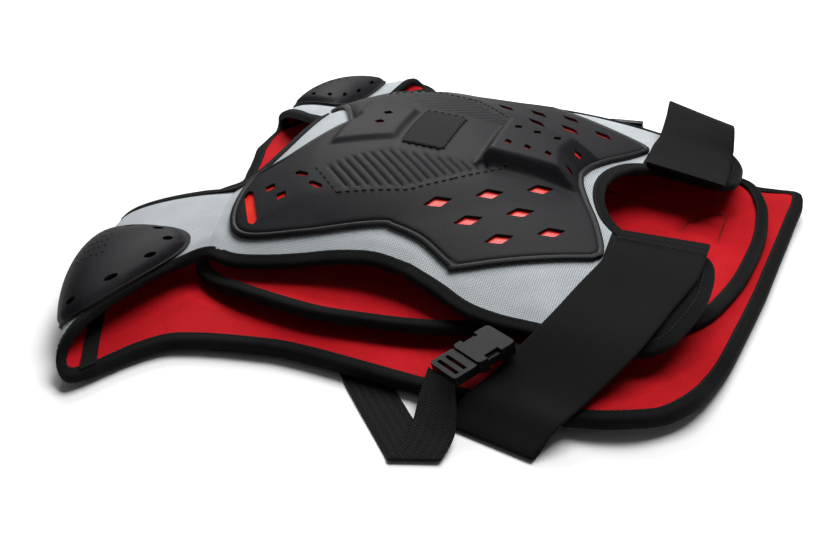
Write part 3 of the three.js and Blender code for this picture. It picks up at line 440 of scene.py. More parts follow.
def strap_point(side, along, across):
    """A place on the outer face: along from the chest over the nose to the back, across from neck to arm."""
    arm = ARM_FOLD[side]

    def between(first, last, share=across):
        return (1 - share)[:, None] * np.array(first, float) + share[:, None] * np.array(last, float)

    seam = between(CHEST_NECK[-1], CHEST_SIDE[0])
    front = lift_chest(chest_top)(seam[:, 0], side * seam[:, 1])
    nose = between(NECK_FOLD["nose"], arm["nose"])
    bulge = FOLD_BULGE["size"] * np.sin(math.pi * across)
    nose[:, 0] -= FOLD_BULGE["forward"] * bulge
    nose[:, 1] = -side * (nose[:, 1] - FOLD_BULGE["aside"] * bulge)
    seat = between(NECK_FOLD["back"], arm["back"])
    back = np.column_stack([seat[:, 0], -side * seat[:, 1], back_bottom(seat[:, 0], seat[:, 1])])
    over = (front + nose) / 2
    over[:, 2] = front[:, 2] + (1 - across) * NECK_FOLD["over"] + across * arm["over"]
    crest = nose.copy()
    crest[:, 2] += (1 - across) * NECK_FOLD["crest"] + across * arm["crest"]
    heel = nose + between(NECK_FOLD["heel"], arm["heel"], across ** 2) * (1, -side, 1)
    under = back + FOLD_UNDER * (nose - back) * (1, 1, 0)
    upper = bezier(np.clip(along * 2, 0, 1), front, over, crest, nose)
    lower = bezier(np.clip(along * 2 - 1, 0, 1), nose, heel, under, back)
    return np.where((along < 0.5)[:, None], upper, lower)


def strap_normal(side, along, across):
    step = 0.01
    ahead, behind = np.minimum(along + step, 1), np.maximum(along - step, 0)
    run = strap_point(side, ahead, across) - strap_point(side, behind, across)
    reach = strap_point(side, along, across + step) - strap_point(side, along, across - step)
    return unit(np.cross(run, reach) * -side)


def strap_thick(along):
    """The strap is as thick as the chest at one end and as the back at the other."""
    return PANEL_THICK + (BACK_THICK - PANEL_THICK) * smooth(along * 2 - 1)


# Meshes
def placed(name, data):
    """A new object in the scene."""
    made = bpy.data.objects.new(name, data)
    bpy.context.scene.collection.objects.link(made)
    return made


def baked(piece):
    """A mesh of the piece with its modifiers."""
    return bpy.data.meshes.new_from_object(piece.evaluated_get(bpy.context.evaluated_depsgraph_get()))


def make_object(name, points, faces, materials, face_material=None, corner_uv=None, sharp=40):
    """A mesh object from points in millimetres, smooth but for edges sharper than so many degrees."""
    mesh = bpy.data.meshes.new(name)
    mesh.from_pydata((np.asarray(points) * MM).tolist(), [], [list(map(int, face)) for face in faces])
    for material in materials:
        mesh.materials.append(material)
    if face_material is not None:
        mesh.polygons.foreach_set("material_index", np.asarray(face_material, np.int32))
    if corner_uv is not None:
        layer = mesh.uv_layers.new(name="cloth")
        layer.data.foreach_set("uv", np.asarray(corner_uv, np.float32).ravel() * MM)
    mesh.shade_smooth()
    mesh.set_sharp_from_angle(angle=math.radians(sharp))
    mesh.validate()
    mesh.update()
    return placed(name, mesh)


def volume_of(points, triangles):
    a, b, c = (points[triangles[:, i]] for i in range(3))
    return np.einsum("ij,ij->i", a, np.cross(b, c)).sum()


def plan_triangles(outline, holes=(), lines=(), cell=6.0):
    """Triangles of a plan with holes, along the lines, with a regular field of points between."""
    points, edges = [], []
    for loop in (outline, *holes):
        first = len(points)
        points.extend(loop)
        edges.extend((first + i, first + (i + 1) % len(loop)) for i in range(len(loop)))
    for line in lines:
        first = len(points)
        points.extend(line)
        edges.extend((first + i, first + i + 1) for i in range(len(line) - 1))
    fixed = np.array(points)
    low, high = fixed.min(axis=0), fixed.max(axis=0)
    rows = np.arange(low[1], high[1], cell * math.sqrt(3) / 2)
    field = np.array([
        (x, y) for j, y in enumerate(rows) for x in np.arange(low[0] + (j % 2) * cell / 2, high[0], cell)
    ])
    field = field[inside(outline, field)]
    clear = np.ones(len(field), bool)
    for start in range(0, len(field), 2000):
        part = field[start:start + 2000]
        gap = np.sqrt(((part[:, None, :] - fixed[None, :, :]) ** 2).sum(axis=2)).min(axis=1)
        clear[start:start + 2000] = gap > 0.6 * cell
    points.extend(field[clear])
    result = delaunay_2d_cdt([Vector(p) for p in points], edges, [], 0, 1e-5)
    plan = np.array([tuple(v) for v in result[0]])
    triangles = np.array([tuple(face) for face in result[2]])
    centre = plan[triangles].mean(axis=1)
    keep = inside(outline, centre)
    for hole in holes:
        keep &= ~inside(hole, centre)
    return plan, triangles[keep]


def kinds_of(materials, top, low, wall):
    """Numbers of the materials of the faces: first above, next below and last on the wall."""
    kinds = [0, min(1, len(materials) - 1), len(materials) - 1]
    return np.repeat(kinds, [len(top), len(low), len(wall)])


def shell(name, plan, triangles, top, bottom, materials, face_material=None, sharp=40):
    """A plan lifted to two surfaces, walled round every border. Materials: top, bottom, wall."""
    used, triangles = np.unique(triangles, return_inverse=True)
    triangles = triangles.reshape(-1, 3)
    plan = plan[used]
    x, y = plan.T
    points = np.vstack([top(x, y), bottom(x, y)])
    count = len(plan)
    directed = np.vstack([triangles[:, [0, 1]], triangles[:, [1, 2]], triangles[:, [2, 0]]])
    keys = set(map(tuple, directed.tolist()))
    border = np.array([edge for edge in directed.tolist() if (edge[1], edge[0]) not in keys])
    walls = np.column_stack([border[:, 1], border[:, 0], border[:, 0] + count, border[:, 1] + count])
    under = triangles[:, ::-1] + count
    faces = [*triangles.tolist(), *under.tolist(), *walls.tolist()]
    split = np.vstack([walls[:, [0, 1, 2]], walls[:, [0, 2, 3]]])
    if volume_of(points, np.vstack([triangles, under, split])) < 0:
        faces = [face[::-1] for face in faces]
    both = np.vstack([plan, plan])
    uv = np.vstack([both[face] for face in faces])
    if face_material is None:
        shown = kinds_of(materials, triangles, under, walls)
    else:
        centre = plan[triangles].mean(axis=1)
        above = face_material(*centre.T)
        shown = np.concatenate([above, np.zeros(len(under)), np.full(len(walls), len(materials) - 1)])
    return make_object(name, points, faces, materials, shown, uv, sharp)


def tube(name, sections, around, along, ring, material):
    """Sections joined in order, closed round each section, and either a ring or capped at both ends."""
    rows, size = sections.shape[:2]
    points = sections.reshape(-1, 3)
    faces, uv = [], []
    for i in range(rows if ring else rows - 1):
        after = (i + 1) % rows
        for j in range(size):
            k = (j + 1) % size
            faces.append((i * size + j, after * size + j, after * size + k, i * size + k))
            near, far = around[j], around[j + 1]
            uv.extend([(near, along[i]), (near, along[i + 1]), (far, along[i + 1]), (far, along[i])])
    if not ring:
        last = (rows - 1) * size
        faces.extend([tuple(range(size))[::-1], tuple(range(last, last + size))])
        uv.extend([(around[j], along[0]) for j in range(size)][::-1])
        uv.extend([(around[j], along[-1]) for j in range(size)])
    split = np.array([(f[0], f[i], f[i + 1]) for f in faces for i in range(1, len(f) - 1)])
    if volume_of(points, split) < 0:
        turned_faces, turned_uv, at = [], [], 0
        for face in faces:
            turned_faces.append(face[::-1])
            turned_uv.extend(uv[at:at + len(face)][::-1])
            at += len(face)
        faces, uv = turned_faces, turned_uv
    return make_object(name, points, faces, [material], corner_uv=uv, sharp=50)


# Shader nodes
class Wire:
    """A number from a shader node, which can be added, multiplied and so on."""

    def __init__(self, finish, socket):
        self.finish = finish
        self.socket = socket

    def maths(self, operation, first, second):
        return self.finish.node("ShaderNodeMath", {"operation": operation}, {0: first, 1: second})

    def __add__(self, other):
        return self.maths("ADD", self, other)

    __radd__ = __add__

    def __sub__(self, other):
        return self.maths("SUBTRACT", self, other)

    def __rsub__(self, other):
        return self.maths("SUBTRACT", other, self)

    def __mul__(self, other):
        return self.maths("MULTIPLY", self, other)

    __rmul__ = __mul__

    def sine(self):
        return self.maths("SINE", self, 0)

    def wave(self, period):
        return (self * (2 * math.pi / period)).sine()

    def size(self):
        return self.maths("ABSOLUTE", self, 0)

    def wrapped(self, period):
        return self.maths("MODULO", self + 1000 * period, period)

    def step(self, low, high):
        """0 below low and 1 above high, smooth between."""
        sockets = {0: self, 1: low, 2: high, 3: 0.0, 4: 1.0}
        return self.finish.node("ShaderNodeMapRange", {"interpolation_type": "SMOOTHSTEP"}, sockets)


class Finish:
    """A material: one principled shader, with the constants given by socket name."""

    def __init__(self, name, **constants):
        self.material = bpy.data.materials.new(name)
        self.material.use_nodes = True
        self.tree = self.material.node_tree
        self.shader = self.tree.nodes["Principled BSDF"]
        for socket, value in constants.items():
            self.shader.inputs[socket.replace("_", " ")].default_value = value

    def node(self, kind, settings=None, sockets=None, output=0):
        made = self.tree.nodes.new(kind)
        for key, value in (settings or {}).items():
            setattr(made, key, value)
        for key, value in (sockets or {}).items():
            self.join(value, made.inputs[key])
        return Wire(self, made.outputs[output])

    def join(self, value, socket):
        if isinstance(value, Wire):
            self.tree.links.new(value.socket, socket)
        else:
            socket.default_value = value

    def place(self):
        """Place in the piece's own frame."""
        return self.node("ShaderNodeTexCoord", output=3)

    def cloth(self):
        """Across and along the cloth, in metres."""
        both = self.node("ShaderNodeUVMap", {"uv_map": "cloth"})
        split = self.node("ShaderNodeSeparateXYZ", sockets={0: both}).socket.node
        return both, Wire(self, split.outputs[0]), Wire(self, split.outputs[1])

    def noise(self, at, scale, detail=3.0, roughness=0.55):
        sockets = {"Vector": at, "Scale": scale, "Detail": detail, "Roughness": roughness}
        return self.node("ShaderNodeTexNoise", sockets=sockets)

    def mix(self, share, first, second):
        return self.node("ShaderNodeMix", {"data_type": "RGBA"}, {0: share, 6: first, 7: second}, output=2)

    def set(self, color, roughness, height=None, depth=0.0005):
        self.join(color, self.shader.inputs["Base Color"])
        self.join(roughness, self.shader.inputs["Roughness"])
        if height is not None:
            sockets = {"Strength": 1.0, "Distance": depth, "Height": height}
            self.join(self.node("ShaderNodeBump", sockets=sockets), self.shader.inputs["Normal"])
        return self.material


def rgb(red, green, blue):
    """Colour from 0 to 255 as the screen shows it."""
    def linear(value):
        value /= 255
        return value / 12.92 if value <= 0.04045 else ((value + 0.055) / 1.055) ** 2.4
    return (linear(red), linear(green), linear(blue), 1)


def knit_holes(finish, pitch):
    """Rows of small round holes, staggered as in warp knit: 1 in a hole, 0 on the yarn."""
    _, u, v = finish.cloth()
    return (u.wave(pitch) * v.wave(pitch * 0.8)).size().step(0.45, 0.85)


def silver_mesh():
    finish = Finish("silver_mesh", Specular_IOR_Level=0.2, Sheen_Weight=0.15, Sheen_Roughness=0.4)
    both = finish.cloth()[0]
    holes = knit_holes(finish, 0.0034)
    speckle = finish.noise(both, 1500, 2)
    cloud = finish.noise(finish.place(), 22, 2)
    yarn = finish.mix(cloud.step(0.3, 0.7), rgb(186, 192, 196), rgb(200, 206, 209))
    shaded = finish.mix(speckle.step(0.35, 0.7) * 0.6, yarn, rgb(140, 146, 151))
    color = finish.mix(holes * 0.6, shaded, rgb(104, 110, 116))
    return finish.set(color, 0.78 - cloud * 0.1, (1 - holes) + speckle * 0.5, 0.0006)


def red_lining():
    finish = Finish("red_lining", Specular_IOR_Level=0.12, Sheen_Weight=0.12, Sheen_Roughness=0.35,
                    Sheen_Tint=rgb(230, 60, 60))
    both, u, v = finish.cloth()
    fuzz = finish.noise(both, 900, 4, 0.7)
    cloud = finish.noise(finish.place(), 16, 3)
    knit = ((u * 2600).sine() * (v * 2200).sine()).size()
    base = finish.mix(cloud.step(0.3, 0.7), rgb(176, 12, 22), rgb(196, 20, 30))
    color = finish.mix(fuzz.step(0.35, 0.75) * 0.5, base, rgb(132, 6, 14))
    return finish.set(color, 0.82 + cloud * 0.12, fuzz + knit * 0.35, 0.0007)


def black_binding():
    finish = Finish("black_binding", Specular_IOR_Level=0.06, Sheen_Weight=0.02, Sheen_Roughness=0.5)
    both, u, v = finish.cloth()
    rib = (u + v).wave(0.0011)
    fuzz = finish.noise(both, 1200, 3)
    cloud = finish.noise(finish.place(), 30, 2)
    color = finish.mix(cloud.step(0.3, 0.75), rgb(10, 11, 11), rgb(17, 18, 18))
    color = finish.mix(fuzz.step(0.5, 0.8) * 0.5, color, rgb(28, 29, 29))
    return finish.set(color, 0.8 - cloud * 0.1, rib * 0.5 + fuzz, 0.00035)


def shell_satin():
    finish = Finish("shell_satin", Specular_IOR_Level=0.08, Coat_Roughness=0.35)
    at = finish.place()
    grain = finish.noise(at, 900, 3, 0.6)
    cloud = finish.noise(at, 14, 3)
    wear = finish.noise(at, 140, 4, 0.7)
    base = finish.mix(cloud.step(0.3, 0.7), rgb(22, 22, 25), rgb(28, 27, 30))
    color = finish.mix(wear.step(0.6, 0.85) * 0.3, base, rgb(40, 39, 42))
    return finish.set(color, 0.46 + cloud * 0.1 + wear * 0.08, grain, 0.00018)


def shell_rim():
    finish = Finish("shell_rim", Specular_IOR_Level=0.14)
    at = finish.place()
    grain = finish.noise(at, 1100, 3, 0.6)
    cloud = finish.noise(at, 40, 3)
    color = finish.mix(cloud.step(0.3, 0.75), rgb(15, 15, 17), rgb(24, 24, 26))
    return finish.set(color, 0.42 + cloud * 0.15, grain, 0.0002)


def red_sheet():
    finish = Finish("red_sheet", Specular_IOR_Level=0.25, Coat_Weight=0.12, Coat_Roughness=0.12)
    at = finish.place()
    cloud = finish.noise(at, 60, 3)
    grain = finish.noise(at, 500, 2)
    color = finish.mix(cloud.step(0.3, 0.7), rgb(222, 30, 18), rgb(238, 48, 28))
    return finish.set(color, 0.24 + cloud * 0.14, grain, 0.00012)


def patch_rubber():
    finish = Finish("patch_rubber", Specular_IOR_Level=0.12)
    _, u, v = finish.cloth()
    weave = (u.wave(0.0012) * v.wave(0.0012)).size()
    cloud = finish.noise(finish.place(), 60, 3)
    color = finish.mix(cloud.step(0.3, 0.7), rgb(22, 22, 25), rgb(30, 30, 33))
    return finish.set(color, 0.5 + cloud * 0.15, weave, 0.0003)


def black_loop():
    finish = Finish("black_loop", Specular_IOR_Level=0.06, Sheen_Weight=0.03, Sheen_Roughness=0.6)
    at = finish.place()
    fuzz = finish.noise(at, 1400, 5, 0.75)
    cloud = finish.noise(at, 24, 3)
    color = finish.mix(fuzz.step(0.4, 0.7), rgb(12, 13, 14), rgb(30, 31, 33))
    return finish.set(color, 0.9 + cloud * 0.08, fuzz, 0.001)


def black_elastic():
    finish = Finish("black_elastic", Specular_IOR_Level=0.06, Sheen_Weight=0.02, Sheen_Roughness=0.5)
    both, u, v = finish.cloth()
    ribs = u.wave(0.0018)
    picks = v.wave(0.0011)
    fuzz = finish.noise(both, 900, 3)
    cloud = finish.noise(finish.place(), 18, 2)
    color = finish.mix(ribs.step(-0.8, 0.9) * 0.5, rgb(15, 15, 16), rgb(20, 20, 21))
    color = finish.mix(fuzz.step(0.5, 0.8) * 0.4, color, rgb(32, 32, 34))
    return finish.set(color, 0.78 + cloud * 0.12, ribs * 0.6 + picks * 0.4, 0.0001)


def black_webbing():
    finish = Finish("black_webbing", Specular_IOR_Level=0.08, Sheen_Weight=0.02, Sheen_Roughness=0.4)
    both, u, v = finish.cloth()
    zigzag = (u.wrapped(0.006) - 0.003).size()
    twill = (v + zigzag).wave(0.0021)
    fuzz = finish.noise(both, 1100, 3)
    color = finish.mix(twill.step(-0.7, 0.9), rgb(10, 10, 11), rgb(28, 28, 30))
    return finish.set(color, 0.62 + fuzz * 0.2, twill + fuzz * 0.5, 0.00045)


def buckle_plastic():
    finish = Finish("buckle_plastic", Specular_IOR_Level=0.07)
    at = finish.place()
    grain = finish.noise(at, 1300, 3, 0.6)
    cloud = finish.noise(at, 60, 3)
    color = finish.mix(cloud.step(0.3, 0.7), rgb(8, 8, 9), rgb(13, 13, 14))
    return finish.set(color, 0.36 + cloud * 0.12, grain, 0.00016)


def sewing_thread(name, color):
    finish = Finish(name, Specular_IOR_Level=0.2, Sheen_Weight=0.05)
    twist = finish.noise(finish.place(), 2500, 2)
    shade = finish.mix(twist, color, tuple(0.55 * c for c in color[:3]) + (1,))
    return finish.set(shade, 0.6 + twist * 0.2, twist, 0.0001)


# Flat black without gloss for the cup's pinholes: painted shade of the holes' insides
def pinhole_painted_shade():
    finish = Finish("pinhole_painted_shade", Specular_IOR_Level=0)
    grain = finish.noise(finish.place(), 900, 2)
    return finish.set(finish.mix(grain, rgb(1, 1, 1), rgb(5, 5, 5)), 0.9 + grain * 0.05, grain, 0.00005)


MESH = silver_mesh()
LINING = red_lining()
TAPE = black_binding()
SATIN = shell_satin()
RIM = shell_rim()
SHEET = red_sheet()
PATCH_FINISH = patch_rubber()
LOOP = black_loop()
ELASTIC = black_elastic()
WEBBING = black_webbing()
BUCKLE = buckle_plastic()
DARK_THREAD = sewing_thread("dark_thread", rgb(40, 41, 42))
BLACK_THREAD = sewing_thread("black_thread", rgb(12, 12, 13))
# Darker than the lining: quilt thread, and painted shade of the quilt grooves
RED_THREAD_AND_GROOVE_SHADE = sewing_thread("red_thread_groove_shade", rgb(104, 8, 14))
# Painted shade for the insides of the cup's pinholes
HOLE = pinhole_painted_shade()
PLAIN_STITCH = {"Pitch": 4.2, "Length": 3.2, "Width": 0.8, "Finish": DARK_THREAD}
PLATE_STITCH = {"Pitch": 6.4, "Length": 4.4, "Width": 1.5, "Finish": BLACK_THREAD}
QUILT_STITCH = {"Pitch": 4, "Length": 3.8, "Width": 1.5, "Finish": RED_THREAD_AND_GROOVE_SHADE}


# Rows of stitches and fields of pinholes
class Pattern:
    """A tree of geometry nodes with named inputs, run once on a guide mesh."""

    def __init__(self, name, inputs):
        self.tree = bpy.data.node_groups.new(name, "GeometryNodeTree")
        face = self.tree.interface
        face.new_socket("Geometry", in_out="INPUT", socket_type="NodeSocketGeometry")
        self.names = {}
        for label, kind in inputs.items():
            self.names[label] = face.new_socket(label, in_out="INPUT", socket_type=kind).identifier
        face.new_socket("Geometry", in_out="OUTPUT", socket_type="NodeSocketGeometry")
        self.given = self.tree.nodes.new("NodeGroupInput").outputs

    def node(self, kind, settings=None, sockets=None):
        made = self.tree.nodes.new(kind)
        for key, value in (settings or {}).items():
            setattr(made, key, value)
        for key, value in (sockets or {}).items():
            if isinstance(value, bpy.types.NodeSocket):
                self.tree.links.new(value, made.inputs[key])
            else:
                made.inputs[key].default_value = value
        return made.outputs

    def scatter(self, points, shape, rotation):
        sockets = {"Points": points, "Instance": shape, "Rotation": rotation}
        copies = self.node("GeometryNodeInstanceOnPoints", sockets=sockets)[0]
        real = self.node("GeometryNodeRealizeInstances", sockets={0: copies})[0]
        sockets = {"Geometry": real, "Material": self.given["Finish"]}
        painted = self.node("GeometryNodeSetMaterial", sockets=sockets)[0]
        end = self.tree.nodes.new("NodeGroupOutput")
        self.tree.links.new(painted, end.inputs[0])

    def facing(self):
        settings = {"data_type": "FLOAT_VECTOR"}
        return self.node("GeometryNodeInputNamedAttribute", settings, {"Name": "facing"})[0]

    def run(self, name, guide, **values):
        modifier = guide.modifiers.new("pattern", "NODES")
        modifier.node_group = self.tree
        for label, value in values.items():
            modifier[self.names[label]] = value
        mesh = baked(guide)
        guide.modifiers.remove(modifier)
        bpy.data.objects.remove(guide)
        mesh.name = name
        return placed(name, mesh)


def stitch_row():
    kinds = {"Pitch": "NodeSocketFloat", "Length": "NodeSocketFloat", "Width": "NodeSocketFloat",
             "Finish": "NodeSocketMaterial"}
    pattern = Pattern("stitch_row", kinds)
    line = pattern.node("GeometryNodeMeshToCurve", sockets={"Mesh": pattern.given["Geometry"]})[0]
    sockets = {"Curve": line, "Length": pattern.given["Pitch"]}
    dots = pattern.node("GeometryNodeResampleCurve", {"mode": "LENGTH"}, sockets)[0]
    ball = pattern.node("GeometryNodeMeshUVSphere", sockets={"Segments": 6, "Rings": 4, "Radius": 0.5})[0]
    sockets = {0: pattern.given["Length"], 1: pattern.given["Width"], 2: pattern.given["Width"]}
    size = pattern.node("ShaderNodeCombineXYZ", sockets=sockets)[0]
    stitch = pattern.node("GeometryNodeTransform", sockets={"Geometry": ball, "Scale": size})[0]
    tangent = pattern.node("GeometryNodeInputTangent")[0]
    along = pattern.node("FunctionNodeAlignRotationToVector", {"axis": "X"}, {"Vector": tangent})[0]
    sockets = {"Rotation": along, "Vector": pattern.facing()}
    laid = pattern.node("FunctionNodeAlignRotationToVector", {"axis": "Z", "pivot_axis": "X"}, sockets)[0]
    pattern.scatter(dots, stitch, laid)
    return pattern


def pinhole_field():
    pattern = Pattern("pinhole_field", {"Radius": "NodeSocketFloat", "Finish": "NodeSocketMaterial"})
    sockets = {"Vertices": 8, "Radius": pattern.given["Radius"]}
    disc = pattern.node("GeometryNodeMeshCircle", {"fill_type": "NGON"}, sockets)[0]
    laid = pattern.node("FunctionNodeAlignRotationToVector", {"axis": "Z"}, {"Vector": pattern.facing()})[0]
    pattern.scatter(pattern.given["Geometry"], disc, laid)
    return pattern


STITCHES = stitch_row()
PINHOLES = pinhole_field()


def guide_of(lines, normals, closed=False):
    """A mesh of bare lines in millimetres that carries the direction its stitches face."""
    points, edges, facing = [], [], []
    for line, normal in zip(lines, normals):
        first = len(points)
        points.extend(line)
        facing.extend(normal)
        edges.extend((first + i, first + i + 1) for i in range(len(line) - 1))
        if closed:
            edges.append((first + len(line) - 1, first))
    mesh = bpy.data.meshes.new("guide")
    mesh.from_pydata((np.array(points) * MM).tolist(), edges, [])
    layer = mesh.attributes.new("facing", "FLOAT_VECTOR", "POINT")
    layer.data.foreach_set("vector", np.array(facing, np.float32).ravel())
    return placed("guide", mesh)


def keep(piece, slot, *nodes):
    """The piece rides on the vest and stands for its nodes."""
    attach(piece, "root")
    if nodes:
        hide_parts(*nodes)
    return piece


def sew(name, lines, normals, closed=False, stitch=PLAIN_STITCH, slot="black_binding"):
    """Stitches along lines, on the side that the normals face."""
    sizes = {label: stitch[label] * MM for label in ("Pitch", "Length", "Width")}
    made = STITCHES.run(name, guide_of(lines, normals, closed), **sizes, Finish=stitch["Finish"])
    keep(made, slot)


# Panels of mesh, foam and lining
def half_panel(neck, side, tab=None):
    """Half an outer edge and the tuck of each point. The shoulder seam is square, the rest lies in a tape."""
    neck, side = half_curve(neck), half_curve(side)
    seam = spaced(np.vstack([neck[-1], side[0]]), 4)[1:-1]
    corner = CORNER_TUCK * (1 - smooth(lengths_along(side) / CORNER_REACH))
    stretches = [
        (neck, np.full(len(neck), TUCK)),
        (seam, np.full(len(seam), -SEAM_LAP)),
        (side, TUCK + corner),
    ]
    if tab is not None:
        tab = half_curve(tab)
        stretches.append((tab, np.full(len(tab), TUCK)))
    return np.vstack([np.column_stack([path, tuck]) for path, tuck in stretches])


def panel_outline(right, left):
    loop = without_doubles(np.vstack([right, left[::-1] * (1, -1, 1)]))
    return inset(loop[:, :2], loop[:, 2])


def bound_edges(neck, right, left):
    """The edges that lie in a tape: the neck, and the way round the sides and the hem."""
    neck, right, left = half_curve(neck), half_curve(right), half_curve(left)
    mirror = np.array([1, -1])
    return [np.vstack([neck[::-1], neck * mirror]), np.vstack([right, left[::-1] * mirror])]


plate_loop = closed_outline(half_curve(PLATE_EDGE, step=2.4))
chest_half = half_panel(CHEST_NECK, CHEST_SIDE, CHEST_TAB)
chest_loop = panel_outline(chest_half, chest_half)
chest_bound = bound_edges(CHEST_NECK, CHEST_SIDE + CHEST_TAB[1:], CHEST_SIDE + CHEST_TAB[1:])
back_loop = panel_outline(half_panel(BACK_NECK, BACK_SIDE[-1]), half_panel(BACK_NECK, BACK_SIDE[1]))
back_bound = bound_edges(BACK_NECK, BACK_SIDE[-1], BACK_SIDE[1])


def foam(edges, x, y):
    """Foam swelling away from the tapes."""
    at = np.column_stack([x, y])
    return puff(np.min([distance_to(edge, at, False) for edge in edges], axis=0) - TUCK)


def ripple(x, y):
    sway = RIPPLE["sway"] * np.sin(RIPPLE["sway_by"] * y)
    return RIPPLE["share"] * np.sin(RIPPLE["x"] * x + sway) * np.sin(RIPPLE["y"] * y + RIPPLE["start"])


def chest_puff(x, y):
    """Foam swelling between the tape and the plate."""
    at = np.column_stack([x, y])
    off_plate = np.where(inside(plate_loop, at), 0, distance_to(plate_loop, at))
    return (1 + ripple(x, y)) * foam(chest_bound, x, y) * grown(off_plate, PUFF_FROM, PUFF_OFF_PLATE)


seam_y = np.linspace(-SEAM_REACH, SEAM_REACH, 140)
seam_line = np.column_stack([np.full(len(seam_y), TAB_SEAM), seam_y])
chest_plan, chest_faces = plan_triangles(chest_loop, lines=[seam_line], cell=5)
chest_upper = lift_chest(lambda x, y: chest_top(x, y) + chest_puff(x, y))
chest_lower = lift_chest(lambda x, y: chest_top(x, y) - PANEL_THICK - foam(chest_bound, x, y))
face_x, face_y = chest_plan[chest_faces].mean(axis=1).T
CHEST_PIECES = [
    ("front_panel", face_x < TAB_SEAM, MESH, "silver_mesh"),
    ("side_tab_right", (face_x >= TAB_SEAM) & (face_y < 0), LOOP, "black_loop"),
    ("side_tab_left", (face_x >= TAB_SEAM) & (face_y > 0), LOOP, "black_loop"),
]
for name, share, outer, slot in CHEST_PIECES:
    cloths = [outer, LINING, outer]
    panel = shell(name + "_cloth", chest_plan, chest_faces[share], chest_upper, chest_lower, cloths)
    keep(panel, slot, name)

back_plan, back_faces = plan_triangles(back_loop, cell=7)
back_upper = lift_back(lambda x, y: back_bottom(x, y) + BACK_THICK + foam(back_bound, x, y))
back_lower = lift_back(back_bottom)
back_panel = shell("back_panel_cloth", back_plan, back_faces, back_upper, back_lower, [LINING, MESH, LINING])
keep(back_panel, "red_lining", "back_panel")


# Chest plate
def soft_max(a, b, blend):
    return (a + b + np.sqrt((a - b) ** 2 + blend ** 2)) / 2


def soft_min(a, b, blend):
    return -soft_max(-a, -b, blend)


def full_crest(crest):
    return crest + [[x, -y] for x, y in reversed(crest) if y > 0] if crest[0][1] == 0 else crest


def inside_distance(polygon, x, y):
    ends = polygon[1:] + polygon[:1]
    reach = [((y1 - y0) * (x - x0) - (x1 - x0) * (y - y0)) / math.hypot(x1 - x0, y1 - y0)
             for (x0, y0), (x1, y1) in zip(polygon, ends)]
    return np.min(reach, axis=0)


def plate_rim(x, y):
    return distance_to(plate_loop, np.column_stack([x, y]))


def relief(x, y):
    """Raised fields, falling to a flange along the rim."""
    total = np.zeros_like(x)
    for field in PLATE_FIELDS:
        rise = 1 + inside_distance(full_crest(field["crest"]), x, np.abs(y)) / field["slope"]
        rise = soft_min(soft_max(rise, 0, PLATE_BLEND["crest"]), 1, PLATE_BLEND["crest"])
        total = soft_max(total, field["height"] * rise, PLATE_BLEND["field"])
    rim = (plate_rim(x, y) - PLATE_FLANGE) * PLATE_STEEP
    return np.maximum(0, soft_min(total, rim, PLATE_BLEND["rim"]))


def ribs(x, y):
    """Slanted ribs pressed into the panel on each side of the collar."""
    depth = inside_distance(RIB_PANEL, x, np.abs(y))
    phase = (RIB["across"][0] * x + RIB["across"][1] * np.abs(y)) / RIB["pitch"]
    from_groove = np.abs(phase - np.round(phase)) * RIB["pitch"]
    return -RIB["depth"] * (1 - smooth(from_groove / RIB["half_width"])) * smooth(depth / RIB["fade"])


def rib_lines():
    """Bottom and both shoulders of every groove between two ribs, within the panel."""
    across = np.array(RIB["across"])
    along = np.array([-across[1], across[0]])
    reach = np.arange(*RIB["reach"], 2.0)[:, None]
    lines = []
    for number in range(*RIB["numbers"]):
        for shift in (-RIB["half_width"], 0, RIB["half_width"]):
            line = across * (number * RIB["pitch"] + shift) + along * reach
            line = line[inside_distance(RIB_PANEL, *line.T) > RIB["margin"]]
            if len(line) > 1:
                lines += [line, line * (1, -1)]
    return lines


def rim_bead(x, y):
    rim = plate_rim(x, y)
    groove = PLATE_GROOVE["depth"] * bell(rim - PLATE_GROOVE["at"], PLATE_GROOVE["half"])
    return bead(rim, PLATE_BEAD) - groove


def plate_under(x, y):
    return chest_top(x, y) + 2 * GAP + LINER_THICK + relief(x, y)


def plate_top(x, y):
    return plate_under(x, y) + SHELL_THICK + rim_bead(x, y) + ribs(x, y)


def vent_outline(vent, at, side):
    a, b = vent["long"] / 2, vent["wide"] / 2
    rhombus = [(a, 0), (0, b), (-a, 0), (0, -b)]
    slot = [(a, 0), (a - b, b), (b - a, b), (-a, 0), (b - a, -b), (a - b, -b)]
    corners = np.array(rhombus if vent["corners"] == 4 else slot, float)
    after = np.roll(corners, -1, axis=0)
    rounded = [a + share * (b - a) for a, b in zip(corners, after) for share in VENT_ROUNDING]
    u, v = np.array(rounded).T
    turn = math.radians(vent["turn"])
    x = at[0] + u * math.cos(turn) - v * math.sin(turn)
    y = at[1] + u * math.sin(turn) + v * math.cos(turn)
    return np.column_stack([x, side * y])


def plate_finish(x, y):
    return (plate_rim(x, y) < RIM_BAND).astype(int)


vent_loops = [vent_outline(vent, at, side) for vent in VENT_GROUPS for at in vent["at"] for side in (-1, 1)]
rim_rings = [inset(plate_loop, reach) for reach in RIM_RINGS]
plate_lines = [np.vstack([line, line[:1]]) for line in rim_rings] + rib_lines()
plate_plan, plate_faces = plan_triangles(plate_loop, vent_loops, plate_lines, cell=2.6)
plate = shell("chest_plate_shell", plate_plan, plate_faces, lift_chest(plate_top), lift_chest(plate_under),
              [SATIN, RIM], plate_finish, sharp=50)
keep(plate, "black_shell", "chest_plate")

liner_plan, liner_faces = plan_triangles(inset(plate_loop, LINER_INSET), cell=4)
liner = shell("vent_liner_sheet", liner_plan, liner_faces,
              lift_chest(lambda x, y: plate_under(x, y) - GAP),
              lift_chest(lambda x, y: plate_under(x, y) - GAP - LINER_THICK), [SHEET])
keep(liner, "red_sheet", "vent_liner")


